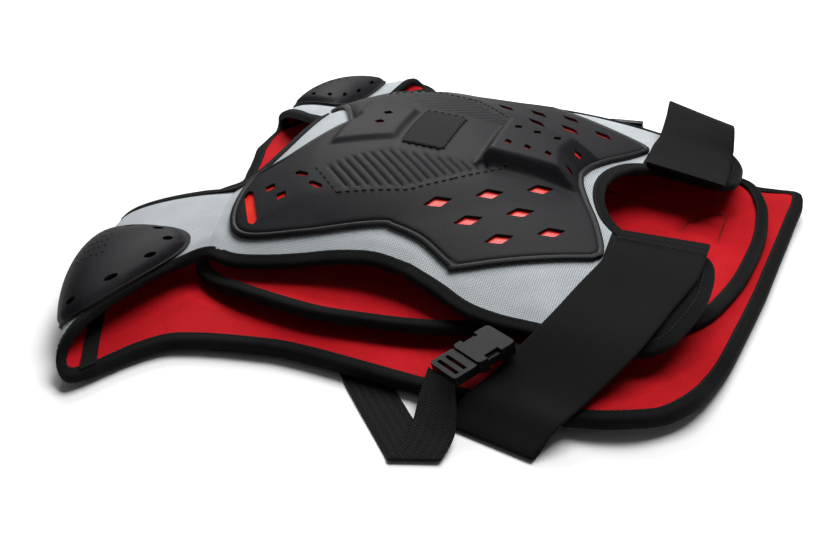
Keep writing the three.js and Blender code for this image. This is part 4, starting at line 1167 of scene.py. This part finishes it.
def rounded_rectangle(x, length, width, corner):
    turn = np.radians(np.arange(0, 91, 15))
    round_x = length / 2 - corner + corner * np.cos(turn)
    round_y = width / 2 - corner + corner * np.sin(turn)
    quarter = np.column_stack([round_x, round_y])
    loop = np.vstack([quarter, quarter[::-1] * (-1, 1), -quarter, quarter[::-1] * (1, -1)])
    loop = spaced(np.vstack([loop, loop[:1]]), 2)[:-1]
    return loop + (x, 0)


patch_loop = rounded_rectangle(PATCH["x"], PATCH["length"], PATCH["width"], PATCH["corner"])
patch_plan, patch_faces = plan_triangles(patch_loop, cell=2)


def patch_under(x, y):
    return plate_under(x, y) + SHELL_THICK + GAP


def patch_top(x, y):
    rim = distance_to(patch_loop, np.column_stack([x, y]))
    fall = PATCH_FALL["depth"] * smooth(1 - rim / PATCH_FALL["over"])
    return patch_under(x, y) + PATCH_THICK + bead(rim, PATCH_BORDER) - fall


patch = shell("chest_patch_label", patch_plan, patch_faces, lift_chest(patch_top), lift_chest(patch_under),
              [PATCH_FINISH])
keep(patch, "patch_rubber", "chest_patch")


def upward(line):
    return np.tile((0.0, 0.0, 1.0), (len(line), 1))


def plate_line(path, lift=0.3):
    """A line laid on the plate, with the directions its stitches face."""
    path = spaced(np.array(path, float), 2)
    line = lift_chest(lambda x, y: plate_top(x, y) + lift)(*path.T)
    return line, upward(line)


patch_rim = patch_loop + PATCH_SEAM["out"] * unit(patch_loop - (PATCH["x"], 0))
seams = [plate_line([[x, side * y] for x, y in seam]) for seam in RIB_SEAMS for side in (-1, 1)]
seams.append(plate_line(np.vstack([patch_rim, patch_rim[:1]]), PATCH_SEAM["lift"]))
sew("plate_stitches", *zip(*seams), stitch=PLATE_STITCH, slot="black_shell")


# Inner back pad: foam swollen by a cloth simulation, then quilted
pad_edge = closed_outline(half_curve(PAD_EDGE))
pad_edge[:, 1] += pad_lean(pad_edge[:, 0])
pad_loop = inset(pad_edge, PAD_TUCK)
pad_plan, pad_faces = plan_triangles(pad_loop, cell=7)


def places_of(mesh):
    """The mesh's points in millimetres."""
    flat = np.empty(len(mesh.vertices) * 3, np.float32)
    mesh.vertices.foreach_get("co", flat)
    return flat.reshape(-1, 3) / MM


def swollen(piece):
    """Points of the piece, remeshed, before and after a short cloth simulation that holds its rim."""
    remesh = piece.modifiers.new("even", "REMESH")
    remesh.mode = "VOXEL"
    remesh.voxel_size = PAD_SWELL["voxel"] * MM
    bpy.context.view_layer.update()
    mesh = baked(piece)
    piece.modifiers.remove(remesh)
    piece.data = mesh
    before = places_of(mesh)
    rim = distance_to(pad_loop, before[:, :2])
    held = piece.vertex_groups.new(name="held")
    held.add(np.flatnonzero(rim < PAD_SWELL["held"]).tolist(), 1.0, "REPLACE")
    cloth = piece.modifiers.new("swell", "CLOTH")
    cloth.settings.quality = PAD_SWELL["quality"]
    cloth.settings.use_pressure = True
    cloth.settings.uniform_pressure_force = PAD_SWELL["pressure"]
    cloth.settings.vertex_group_mass = held.name
    cloth.settings.effector_weights.gravity = 0
    cloth.collision_settings.use_collision = False
    cloth.collision_settings.use_self_collision = False
    cloth.point_cache.frame_start = 1
    cloth.point_cache.frame_end = PAD_SWELL["frames"]
    for number in range(1, PAD_SWELL["frames"] + 1):
        bpy.context.scene.frame_set(number)
    after = places_of(baked(piece))
    piece.modifiers.remove(cloth)
    piece.vertex_groups.clear()
    bpy.context.scene.frame_set(1)
    return before, after


def quilt_stitches(top):
    """Dark red thread along the quilt lines, at the height of the swollen pad; its dark colour is partly the
    thread and partly painted shade of the quilt grooves.
    """
    lines = []
    for line in QUILT_LINES:
        for mirror in ((1, 1), (1, -1)):
            path = spaced(np.array(line, float) * mirror, 4)
            path[:, 1] += pad_lean(path[:, 0])
            off = np.linalg.norm(top[None, :, :2] - path[:, None], axis=2)
            share = bell(off, QUILT["near"])
            height = (share * top[:, 2]).sum(axis=1) / share.sum(axis=1)
            lines.append(np.column_stack([path, height + QUILT["lift"]]))
    sew("pad_stitches", lines, [upward(line) for line in lines], stitch=QUILT_STITCH, slot="red_lining")


def back_pad():
    lower = lift_back(lambda x, y: pad_bottom(x, y) + PAD_FOAM["below"])
    upper = lift_back(lambda x, y: pad_bottom(x, y) + PAD_THICK - PAD_FOAM["above"])
    piece = shell("back_pad_cloth", pad_plan, pad_faces, upper, lower, [LINING])
    before, after = swollen(piece)
    move = after - before
    size = np.linalg.norm(move, axis=1, keepdims=True)
    move *= np.minimum(1, PAD_SWELL["cap"] / np.maximum(size, 1e-6))
    at = before + move
    floor = pad_bottom(at[:, 0], at[:, 1])
    at[:, 2] = np.maximum(at[:, 2], floor + PAD_FOAM["clear"])
    high = grown(at[:, 2] - floor, QUILT["from"], QUILT["over"])
    upright = np.column_stack([at[:, 0], at[:, 1] - pad_lean(at[:, 0])])
    for line in QUILT_LINES:
        path = np.array(line, float)
        near = np.minimum(distance_to(path, upright, False), distance_to(path * (1, -1), upright, False))
        at[:, 2] -= QUILT["depth"] * high * bell(near, QUILT["half"])
    mesh = piece.data
    mesh.vertices.foreach_set("co", (at * MM).astype(np.float32).ravel())
    layer = mesh.uv_layers.new(name="cloth")
    corners = np.empty(len(mesh.loops), np.int32)
    mesh.loops.foreach_get("vertex_index", corners)
    layer.data.foreach_set("uv", (at[corners, :2] * MM).astype(np.float32).ravel())
    if not mesh.materials:
        mesh.materials.append(LINING)
    mesh.shade_smooth()
    finer = piece.modifiers.new("soft", "SUBSURF")
    finer.levels = 1
    finer.render_levels = 1
    quilt_stitches(at[high > 0.5])
    return piece


pad = keep(back_pad(), "red_lining", "back_pad")


# Tapes folded round the edges
def half_inward(path):
    """Inward directions of half an outline; an end on the middle line has its mirror image beyond it."""
    first = path[1] * (1, -1) if abs(path[0][1]) < 1e-6 else path[0]
    last = path[-2] * (1, -1) if abs(path[-1][1]) < 1e-6 else path[-1]
    padded = np.vstack([first, path, last])
    along = unit(padded[2:] - padded[:-2])
    return np.column_stack([-along[:, 1], along[:, 0]])


def edge_frames(surface, path, side, half, below, flip=1):
    """Rows of place, inward, outward, half thickness out and half thickness in, along half an outline."""
    step = 0.5
    mirror = np.array([1, -side])
    inward = half_inward(path) * mirror
    x, y = (path * mirror).T
    slope_x = (surface(x + step, y) - surface(x - step, y)) / (2 * step)
    slope_y = (surface(x, y + step) - surface(x, y - step)) / (2 * step)
    into = unit(np.column_stack([inward, slope_x * inward[:, 0] + slope_y * inward[:, 1]]))
    out = flip * unit(np.column_stack([-slope_x, -slope_y, np.ones(len(x))]))
    at = np.column_stack([x, y, surface(x, y)])
    return np.column_stack([at, into, out, np.full(len(x), half), np.full(len(x), below)])


def chest_frames(path, side):
    half = PANEL_THICK / 2 + BINDING_LIP
    rows = edge_frames(lambda x, y: chest_top(x, y) - PANEL_THICK / 2, path, side, half, half)
    return np.column_stack([on_vest(rows[:, :3]), turned(rows[:, 3:6]), turned(rows[:, 6:9]), rows[:, 9:]])


def back_frames(path, side):
    half = BACK_THICK / 2 + BINDING_LIP
    return edge_frames(lambda x, y: back_bottom(x, y) + BACK_THICK / 2, path, side, half, half, flip=-1)


def strap_frames(side, edge):
    along = np.linspace(0, 1, STATIONS["strap"])[1:-1]
    across = np.full(len(along), float(edge))
    out = strap_normal(side, along, across)
    at = strap_point(side, along, across)
    into = unit(strap_point(side, along, across + 0.05 * (0.5 - across)) - at)
    middle = strap_thick(along) / 2
    half = middle + BINDING_LIP
    return np.column_stack([at - out * middle[:, None], into, out, half, half])


def tape(name, stations, ring, node, faces=(1, -1)):
    """A folded tape along stations, stitched on its outer face, or on both."""
    rows = spline(stations, 6, ring=ring)
    at, into, out = rows[:, :3], unit(rows[:, 3:6]), unit(rows[:, 6:9])
    half, below = rows[:, 9:10], rows[:, 10:11]

    def place(reach, height):
        return at + into * reach + out * height * (half if height > 0 else below)

    sections = np.stack([place(reach, height) for reach, height in TAPE_PROFILE], axis=1)
    around = lengths_along(np.vstack([sections[0], sections[0][:1]]))
    path = np.vstack([at, at[:1]]) if ring else at
    keep(tube(name, sections, around, lengths_along(path), ring, TAPE), "black_binding", node)
    lines = [place(TAPE_STITCH["reach"], TAPE_STITCH["height"] * face) for face in faces]
    sew(name + "_stitches", lines, [out * face for face in faces], ring)


def ring_through(half):
    return np.vstack([half(-1), half(1)[1:-1][::-1]])


def length_through(half):
    return np.vstack([half(-1), half(1)[:-1][::-1]])


chest_neck = half_curve(CHEST_NECK, STATIONS["chest_neck"])
chest_side = half_curve(CHEST_SIDE, STATIONS["chest_side"])
chest_tab = half_curve(CHEST_TAB, STATIONS["chest_tab"])
chest_edge = np.vstack([chest_side[:-1], chest_tab])
back_neck = half_curve(BACK_NECK, STATIONS["back_neck"])
back_sides = {side: half_curve(edge, STATIONS["back_side"]) for side, edge in BACK_SIDE.items()}
pad_half_edge = half_curve(PAD_EDGE, STATIONS["pad_edge"])


def neck_ring(side):
    back = back_frames(back_neck, side)[::-1]
    return np.vstack([chest_frames(chest_neck, side), strap_frames(side, 0), back])


def hem_length(side):
    return chest_frames(chest_edge, side)[CHEST_JOIN:]


def back_length(side):
    return back_frames(back_sides[side], side)[BACK_JOIN:]


def arm_length(side):
    front = chest_frames(chest_edge, side)[:CHEST_JOIN + 1][::-1]
    return np.vstack([front, strap_frames(side, 1), back_frames(back_sides[side], side)[:BACK_JOIN + 1]])


def pad_ring(side):
    half = pad_half_edge.copy()
    half[:, 1] -= side * pad_lean(half[:, 0])
    above, below = PAD_THICK / 2 + BINDING_LIP, PAD_THICK / 2 - BINDING_LIP
    return edge_frames(lambda x, y: pad_bottom(x, y) + PAD_THICK / 2, half, side, above, below)


tape("neck_tape", ring_through(neck_ring), True, "neck_binding")
tape("hem_tape", length_through(hem_length), False, "hem_binding")
tape("back_tape", length_through(back_length), False, "back_binding")
tape("pad_tape", ring_through(pad_ring), True, "back_pad_binding", faces=(1,))
for side_name, side in SIDES.items():
    tape("arm_tape_" + side_name, arm_length(side), False, "arm_binding_" + side_name)


# Shoulders: strap, seam tape and cup
def strap_grid(side, along, across, depth):
    u, v = along.ravel(), across.ravel()
    at = strap_point(side, u, v) - strap_normal(side, u, v) * np.ravel(depth)[:, None]
    return at.reshape(along.shape + (3,))


def grid_shell(name, outer, inner, uv, materials):
    """A wall between two matching grids of points. Materials: outer, inner, border."""
    rows, columns = outer.shape[:2]
    count = rows * columns
    index = np.arange(count).reshape(rows, columns)
    a, b, c, d = index[:-1, :-1], index[1:, :-1], index[1:, 1:], index[:-1, 1:]
    top = np.stack([a, b, c, d], axis=-1).reshape(-1, 4)
    low = top[:, ::-1] + count
    border = np.concatenate([index[0, :-1], index[:-1, -1], index[-1, :0:-1], index[:0:-1, 0]])
    after = np.roll(border, -1)
    wall = np.column_stack([border, after, after + count, border + count])
    faces = np.vstack([top, low, wall])
    points = np.vstack([outer.reshape(-1, 3), inner.reshape(-1, 3)])
    split = np.vstack([faces[:, [0, 1, 2]], faces[:, [0, 2, 3]]])
    if volume_of(points, split) < 0:
        faces = faces[:, ::-1]
    both = np.vstack([uv.reshape(-1, 2)] * 2)
    shown = kinds_of(materials, top, low, wall)
    return make_object(name, points, faces.tolist(), materials, shown, both[faces.ravel()])


def shoulder_strap(name, side):
    rows, columns = STRAP_GRID
    along = np.linspace(0, 1, rows)
    neck, middle, arm = (strap_point(side, along, np.full(rows, share)) for share in (0.0, 0.5, 1.0))
    width = np.linalg.norm(arm - neck, axis=1)
    near = TUCK / width
    corners = 1 - smooth(along / STRAP_CORNER) + smooth((along - 1) / STRAP_CORNER + 1)
    far = (TUCK + CORNER_TUCK * corners) / width
    share = np.linspace(0, 1, columns)
    across = near[:, None] + (1 - near - far)[:, None] * share
    alongs = np.repeat(along[:, None], columns, axis=1)
    swell = puff(np.minimum(share, 1 - share)[None, :] * width[:, None])
    fuller = STRAP_SWELL["share"] + (1 - STRAP_SWELL["share"]) * (1 - smooth(along / STRAP_SWELL["over"]))
    outer = strap_grid(side, alongs, across, -swell * fuller[:, None])
    inner = strap_grid(side, alongs, across, strap_thick(along)[:, None] + swell)
    reach = np.repeat(lengths_along(middle)[:, None], columns, axis=1)
    uv = np.stack([across * width[:, None], reach], axis=-1)
    piece = grid_shell(name + "_cloth", outer, inner, uv, [MESH, LINING, MESH])
    keep(piece, "silver_mesh", name)


def seam_tape(name, side):
    """Tape over the seam of strap and back panel, on the lining."""
    share, across = np.meshgrid(np.linspace(0, 1, 7), np.linspace(*SEAM_TAPE["across"], 40), indexing="ij")
    start, end = SEAM_TAPE["along"]
    along = start + (end - start) * share
    thick = strap_thick(along)
    outer = strap_grid(side, along, across, thick + SEAM_TAPE["sunk"] * PUFF)
    inner = strap_grid(side, along, across, thick + PUFF + TAPE_THICK)
    uv = np.stack([SEAM_TAPE["width"] * share, SEAM_TAPE["length"] * across], axis=-1)
    keep(grid_shell(name + "_cloth", outer, inner, uv, [TAPE]), "black_binding")


def cup_rise(radius):
    edge = CUP_DOME["edge"] * smooth((1 - radius) / CUP_DOME["edge_over"])
    bulge = np.maximum(0, 1 - (radius / CUP_DOME["reach"]) ** 2) ** CUP_DOME["power"]
    return edge + (CUP_RISE - CUP_DOME["edge"]) * bulge


def cup_lift(side, depth):
    cup = CUP[side]

    def lift(x, y):
        u, v = x / CUP_REACH, y / CUP_REACH
        radius = np.hypot(u, v)
        along = cup["along"] + cup["half_along"] * v
        across = cup["across"] + cup["half_across"] * u - cup["lean"] * v
        groove = CUP_GROOVE["depth"] * sum(bell(radius - at, CUP_GROOVE["half"]) for at in CUP_GROOVE["at"])
        pressed = 1 - CUP_PRESSED["share"] * grown(v, CUP_PRESSED["from"], CUP_PRESSED["over"])
        rise = CUP_CLEARANCE + cup_rise(radius) * pressed + depth - groove * (depth > 0)
        return strap_point(side, along, across) + strap_normal(side, along, across) * rise[:, None]
    return lift


def shoulder_cup(name, side):
    turn = np.radians(np.arange(0, 360, 2.5))
    circle = np.column_stack([np.cos(turn), np.sin(turn)])
    holes = []
    for number in range(CUP_HOLE["count"]):
        angle = 2 * math.pi * number / CUP_HOLE["count"]
        oval = circle[::12] * (CUP_HOLE["wide"] / 2, CUP_HOLE["long"] / 2)
        c, s = math.cos(angle), math.sin(angle)
        spun = np.column_stack([oval[:, 0] * c - oval[:, 1] * s, oval[:, 0] * s + oval[:, 1] * c])
        holes.append(spun + CUP_HOLE["radius"] * CUP_REACH * np.array([c, s]))
    rings = [np.vstack([circle, circle[:1]]) * CUP_REACH * radius for radius in CUP_GROOVE["at"]]
    plan, faces = plan_triangles(circle * CUP_REACH, holes, rings, cell=2.2)
    dome, hollow = cup_lift(side, CUP_THICK), cup_lift(side, 0)
    keep(shell(name + "_shell", plan, faces, dome, hollow, [SATIN, SATIN, RIM]), "black_shell", name)
    cup_pinholes(name + "_pinholes", dome, hollow)


def cup_pinholes(name, dome, hollow):
    """A staggered field of dark dots, painted shade of the pinholes' insides, that face straight out of the
    dome.
    """
    columns = CUP_PINHOLES["columns"]
    u, v = np.meshgrid(np.linspace(*CUP_PINHOLES["u"], CUP_PINHOLES["rows"]),
                       np.linspace(*CUP_PINHOLES["v"], columns))
    u = (u + CUP_PINHOLES["stagger"] * (np.arange(columns)[:, None] % 2)).ravel() * CUP_REACH
    v = v.ravel() * CUP_REACH
    at = dome(u, v)
    facing = unit(np.cross(dome(u + 1, v) - dome(u - 1, v), dome(u, v + 1) - dome(u, v - 1)))
    facing *= np.sign(np.sum(facing * (at - hollow(u, v)), axis=1, keepdims=True))
    guide = guide_of([at + CUP_PINHOLES["lift"] * facing], [facing])
    dots = PINHOLES.run(name, guide, Radius=CUP_PINHOLES["radius"] * MM, Finish=HOLE)
    keep(dots, "black_shell")


for side_name, side in SIDES.items():
    shoulder_strap("shoulder_strap_" + side_name, side)
    seam_tape("seam_tape_" + side_name, side)
    shoulder_cup("shoulder_cup_" + side_name, side)


# Straps and webbing
def ribbon(name, route, width, thick, count, material, slot, node, hem=0):
    """A flat strap along a route, with rounded edges and a doubled hem at its start."""
    rows = np.array([[*at, *across] for at, across in route], float)
    per_span = max(2, round(count / (len(rows) - 1)))
    middle = spline(rows[:, :3], per_span)
    station = np.linspace(0, len(rows) - 1, len(middle))
    across = np.column_stack([np.interp(station, np.arange(len(rows)), values) for values in rows[:, 3:].T])
    along = unit(np.gradient(middle, axis=0))
    up = unit(np.cross(along, across))
    reach = lengths_along(middle)
    doubled = (1 - smooth((reach - hem) / HEM["over"])) * (hem > 0)
    half = thick / 2 * (1 + HEM["thicker"] * doubled)

    def place(share, height):
        return middle + across * (share * width / 2) + up * (height * half)[:, None]

    flat = [(share, 1) for share in np.linspace(-0.93, 0.93, 13)]
    upper = [(-1, 0.35), (-0.985, 0.85), *flat, (0.985, 0.85), (1, 0.35)]
    profile = upper + [(share, -height) for share, height in reversed(upper)]
    sections = np.stack([place(share, height) for share, height in profile], axis=1)
    around = np.array([share * width / 2 for share, _ in profile + profile[:1]])
    made = keep(tube(name, sections, around, reach, False, material), slot, node)
    width * MM
    return middle, across, up, reach


def hem_stitches(name, middle, across, up, reach):
    """Two rows of stitches across the hem of a waist strap."""
    shares = np.linspace(-0.94, 0.94, 24)[:, None]
    lines, normals = [], []
    for row in HEM["rows"]:
        i = int(np.searchsorted(reach, row))
        lines.append(middle[i] + across[i] * shares * STRAP_WIDTH / 2 + up[i] * (STRAP_THICK * HEM["lift"]))
        normals.append(np.repeat(up[i][None], len(shares), axis=0))
    sew(name, lines, normals, slot="black_elastic")


WOVEN = {"webbing_": (WEBBING_ROUTES, WEBBING_WIDTH, 100), "buckle_loop_": (LOOP_ROUTES, LOOP_WIDTH, 40)}
for side_name in SIDES:
    strap = "waist_strap_" + side_name
    laid = ribbon(strap + "_elastic", WAIST_ROUTES[side_name], STRAP_WIDTH, STRAP_THICK, 120, ELASTIC,
                  "black_elastic", strap, HEM["length"])
    hem_stitches(strap + "_stitches", *laid)
    for kind, (routes, width, count) in WOVEN.items():
        web = kind + side_name
        ribbon(web + "_weave", routes[side_name], width, WEBBING_THICK, count, WEBBING, "black_webbing", web)


# Buckles: rounded copies of their solids
def rounded_copy(name, node, radius):
    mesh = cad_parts[node].data.copy()
    solid = bmesh.new()
    solid.from_mesh(mesh)
    bmesh.ops.remove_doubles(solid, verts=solid.verts, dist=1e-6)
    bmesh.ops.dissolve_limit(solid, angle_limit=math.radians(2), verts=solid.verts, edges=solid.edges)
    solid.to_mesh(mesh)
    solid.free()
    mesh.materials.clear()
    mesh.materials.append(BUCKLE)
    mesh.name = name
    piece = placed(name, mesh)
    bevel = piece.modifiers.new("edge", "BEVEL")
    bevel.width = radius * MM
    bevel.segments = 2
    bevel.limit_method = "ANGLE"
    bevel.angle_limit = math.radians(35)
    mesh.shade_smooth()
    mesh.set_sharp_from_angle(angle=math.radians(50))
    keep(piece, "buckle_plastic", node)


for side_name in SIDES:
    for half, radius in BUCKLE_EDGES.items():
        rounded_copy(f"buckle_{half}_body_{side_name}", f"buckle_{half}_{side_name}", radius)


# Floor, lights and camera
def studio_floor():
    finish = Finish("studio_floor", Specular_IOR_Level=0.2)
    cloud = finish.noise(finish.place(), 3, 2)
    finish.set(finish.mix(cloud, (0.86, 0.86, 0.86, 1), (0.88, 0.88, 0.88, 1)), 0.7 + cloud * 0.1)
    mesh = bpy.data.meshes.new("studio_floor")
    reach = 6
    corners = [(-reach, -reach, 0), (reach, -reach, 0), (reach, reach, 0), (-reach, reach, 0)]
    mesh.from_pydata(corners, [], [(0, 1, 2, 3)])
    mesh.materials.append(finish.material)
    floor = placed("studio_floor", mesh)
    floor.location.z = -0.0004


def area_light(name, at, size, power):
    lamp = bpy.data.lights.new(name, "AREA")
    lamp.shape = "RECTANGLE"
    lamp.size, lamp.size_y = size
    lamp.energy = power
    light = placed(name, lamp)
    light.location = at
    light.rotation_euler = (Vector(LIT_PLACE) - Vector(at)).to_track_quat("-Z", "Y").to_euler()


def studio():
    studio_floor()
    world = bpy.data.worlds.new("studio")
    world.use_nodes = True
    sky = world.node_tree.nodes["Background"].inputs
    sky["Color"].default_value = (1, 1, 1, 1)
    sky["Strength"].default_value = 0.1
    bpy.context.scene.world = world
    bpy.context.scene.view_settings.view_transform = "Standard"
    for name, light in LIGHTS.items():
        area_light(name, **light)
    lens = bpy.data.cameras.new("photo")
    lens.sensor_fit = "HORIZONTAL"
    lens.sensor_width = CAMERA["sensor"]
    lens.lens = CAMERA["sensor"] * PHOTO["focal"] / PHOTO["width"]
    camera = placed("photo", lens)
    camera.location = CAMERA["at"]
    camera.rotation_euler = (math.radians(90 - CAMERA["elevation"]), 0, math.radians(CAMERA["azimuth"]))
    bpy.context.scene.camera = camera


studio()
